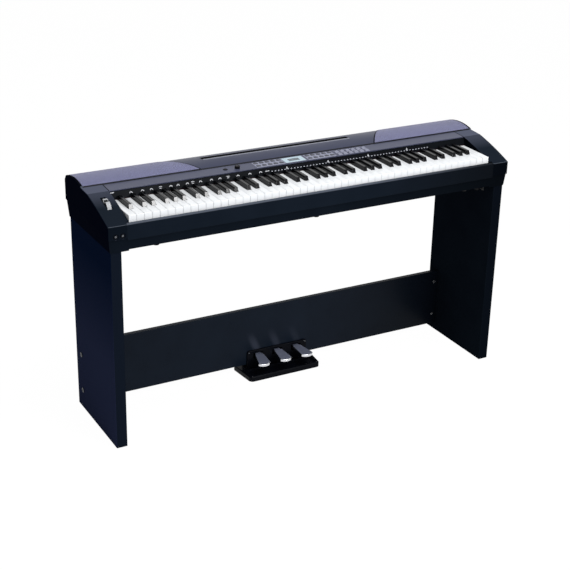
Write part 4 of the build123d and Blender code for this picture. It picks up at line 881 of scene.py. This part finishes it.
for step in range(-rib_reach, rib_reach + 1):
    lean = step * rib_pitch
    if abs(lean + notch_lean) < notch_half:
        continue
    out = Vector((0.0, math.sin(math.radians(lean)), math.cos(math.radians(lean))))
    along = Vector((0.0, math.cos(math.radians(lean)), -math.sin(math.radians(lean))))
    foot = Vector((wheel_x, wheel_y, wheel_z)) + out * (wheel_radius - rib_sink)
    raised_marks(
        f"wheel_rib_{step + rib_reach}", [bar(0.0, 0.0, rib_width, rib_line)], foot, (1, 0, 0), along,
        rib_height, wheel_grey, "wheel_plastic", body="pitch_wheel",
    )

# The dark sheet in the finger notch is painted shade.
pad_half, pad_radius, pad_sheet = 5.6, 7.0, 0.5
pad_start, pad_step, pad_steps = 200.0, 14.0, 10
pad_y = wheel_y - wheel_radius * math.sin(math.radians(notch_lean))
pad_z = wheel_z + wheel_radius * math.cos(math.radians(notch_lean))
arc = [math.radians(pad_start + notch_lean + pad_step * step) for step in range(pad_steps + 1)]
pad_section = [(pad_y + pad_radius * math.cos(a), pad_z + pad_radius * math.sin(a)) for a in arc]
inner_radius = pad_radius - pad_sheet
pad_section += [(pad_y + inner_radius * math.cos(a), pad_z + inner_radius * math.sin(a)) for a in arc[::-1]]
pad_rings = [[(x, y, z) for y, z in pad_section] for x in (wheel_x - pad_half, wheel_x + pad_half)]
swept("wheel_notch_shade", pad_rings, black_rubber, body="pitch_wheel")

# Sockets: black threaded jacks with dull zinc contact rings, two in the left cheek for
# headphones and, in the rear wall, one for a damper pedal and the power inlet.
dress(black_moulding, "sockets")
jack_places, jack_z, cheek_front = (-656.5, -636.0), 670.0, (0, -166.6, 0)
damper_u, inlet_u, rear_z, case_rear = 300.0, 340.0, 704.0, (0, 167.0, 0)
facing_rear, contact_height = ((-1, 0, 0), (0, 0, 1)), 0.15
jack_rings = []
for u in jack_places:
    jack_rings += ring(u, jack_z, inner=0.9, outer=2.7)
raised_marks("jack_rings", jack_rings, cheek_front, *facing_player, contact_height, dull_zinc, "zinc_steel")
rear_rings = ring(damper_u, rear_z, inner=3.5, outer=4.7) + ring(inlet_u, rear_z, inner=3.0, outer=4.7)
raised_marks("rear_jack_rings", rear_rings, case_rear, *facing_rear, contact_height, dull_zinc, "zinc_steel")

# White keys: injection-moulded levers in polished cool white, chamfered along the top edges,
# all hung on one pivot bead under the control panel.
naturals = ("c", "d", "e", "f", "g", "a", "b")
key_white = grained(
    "key_white", (0.80, 0.82, 0.84), (0.77, 0.79, 0.815), (0.84, 0.855, 0.87),
    roughness=0.24, spread=0.04, scale=1600.0, depth=0.01 * MM, specular=0.45, radius=0.7 * MM,
)
dress(key_white, *[f"keys_{note}" for note in naturals], *[f"key_{note}_4" for note in naturals])

# Black keys: tapered caps in glossy black with softly broken edges, fixed on levers that share
# the pivot bead with the white keys.
sharps = ("c_sharp", "d_sharp", "f_sharp", "g_sharp", "a_sharp")
key_black = grained(
    "key_black", (0.0040, 0.0042, 0.0052), (0.0028, 0.0030, 0.0038), (0.030, 0.031, 0.034),
    roughness=0.13, spread=0.04, scale=1200.0, depth=0.02 * MM, specular=0.16, radius=0.8 * MM,
)
dress(key_black, *[f"keys_{note}" for note in sharps], *[f"key_{note}_4" for note in sharps])

# Floor, light and camera: a seamless white studio floor, one large soft lamp over the player, a
# small one in front that the black key fronts mirror, and even light all round.


def shows_white(tree):
    """One where a ray comes from the camera, or off or through a shiny surface."""
    path = put(tree, "ShaderNodeLightPath").outputs
    seen = reckoned(tree, "MAXIMUM", path["Is Camera Ray"], path["Is Glossy Ray"])
    return reckoned(tree, "MAXIMUM", seen, path["Is Transmission Ray"])


world = bpy.data.worlds.new("studio")
bpy.context.scene.world = world
world.use_nodes = True
tree = world.node_tree
back = tree.nodes["Background"]
back.inputs["Color"].default_value = (1.0, 1.0, 1.0, 1.0)
level = ranged(tree, shows_white(tree), start=0.0, end=1.0, low=0.40)
tree.links.new(level, back.inputs["Strength"])

floor_width = 28.0
mesh = bpy.data.meshes.new("studio_floor")
corners = bar(0.0, 0.0, floor_width, floor_width)
mesh.from_pydata([(x, y, 0.0) for x, y in corners], [], [(0, 1, 2, 3)])
floor = bpy.data.objects.new("studio_floor", mesh)
bpy.context.scene.collection.objects.link(floor)
floor_white, tree, shader = new_finish("floor_white")
shader.inputs["Base Color"].default_value = (0.90, 0.90, 0.90, 1.0)
shader.inputs["Roughness"].default_value = 0.9
shader.inputs["Specular IOR Level"].default_value = 0.0
glow = put(tree, "ShaderNodeEmission", {"Color": (1.0, 1.0, 1.0, 1.0), "Strength": 1.02})
glow_share = reckoned(tree, "MULTIPLY", shows_white(tree), 0.96)
blend = put(tree, "ShaderNodeMixShader", {0: glow_share, 1: shader.outputs[0], 2: glow.outputs[0]})
tree.links.new(blend.outputs[0], tree.nodes["Material Output"].inputs["Surface"])
mesh.materials.append(floor_white)


def lamp(name, place, target, width, height, watts):
    """Rectangular soft box that looks at a point."""
    light = bpy.data.lights.new(name, "AREA")
    light.shape = "RECTANGLE"
    light.size, light.size_y, light.energy = width, height, watts
    holder = bpy.data.objects.new(name, light)
    holder.location = place
    holder.rotation_euler = (Vector(target) - Vector(place)).to_track_quat("-Z", "Y").to_euler()
    bpy.context.scene.collection.objects.link(holder)


lamp("key_lamp", (0.2, -1.3, 3.4), (0.0, 0.0, 0.5), width=2.4, height=2.4, watts=83.0)
lamp("front_lamp", (0.56, -2.58, 1.50), (-0.40, -0.09, 0.73), width=0.55, height=0.25, watts=30.0)

camera_place = (-1.8660, -3.30625, 2.0019)
yaw, pitch, roll = 0.5068, -0.4138, 0.0225
ahead = Vector((math.sin(yaw) * math.cos(pitch), math.cos(yaw) * math.cos(pitch), math.sin(pitch)))
right = Vector((math.cos(yaw), -math.sin(yaw), 0.0))
up = right.cross(ahead)
level_right = right * math.cos(roll) + up * math.sin(roll)
level_up = up * math.cos(roll) - right * math.sin(roll)
camera_data = bpy.data.cameras.new("camera")
camera_data.sensor_width = 36.0
camera_data.lens = 82.69
camera = bpy.data.objects.new("camera", camera_data)
turn = Matrix((level_right, level_up, -ahead)).transposed().to_4x4()
camera.matrix_world = Matrix.Translation(camera_place) @ turn
bpy.context.scene.collection.objects.link(camera)
bpy.context.scene.camera = camera
bpy.context.scene.view_settings.view_transform = "Standard"
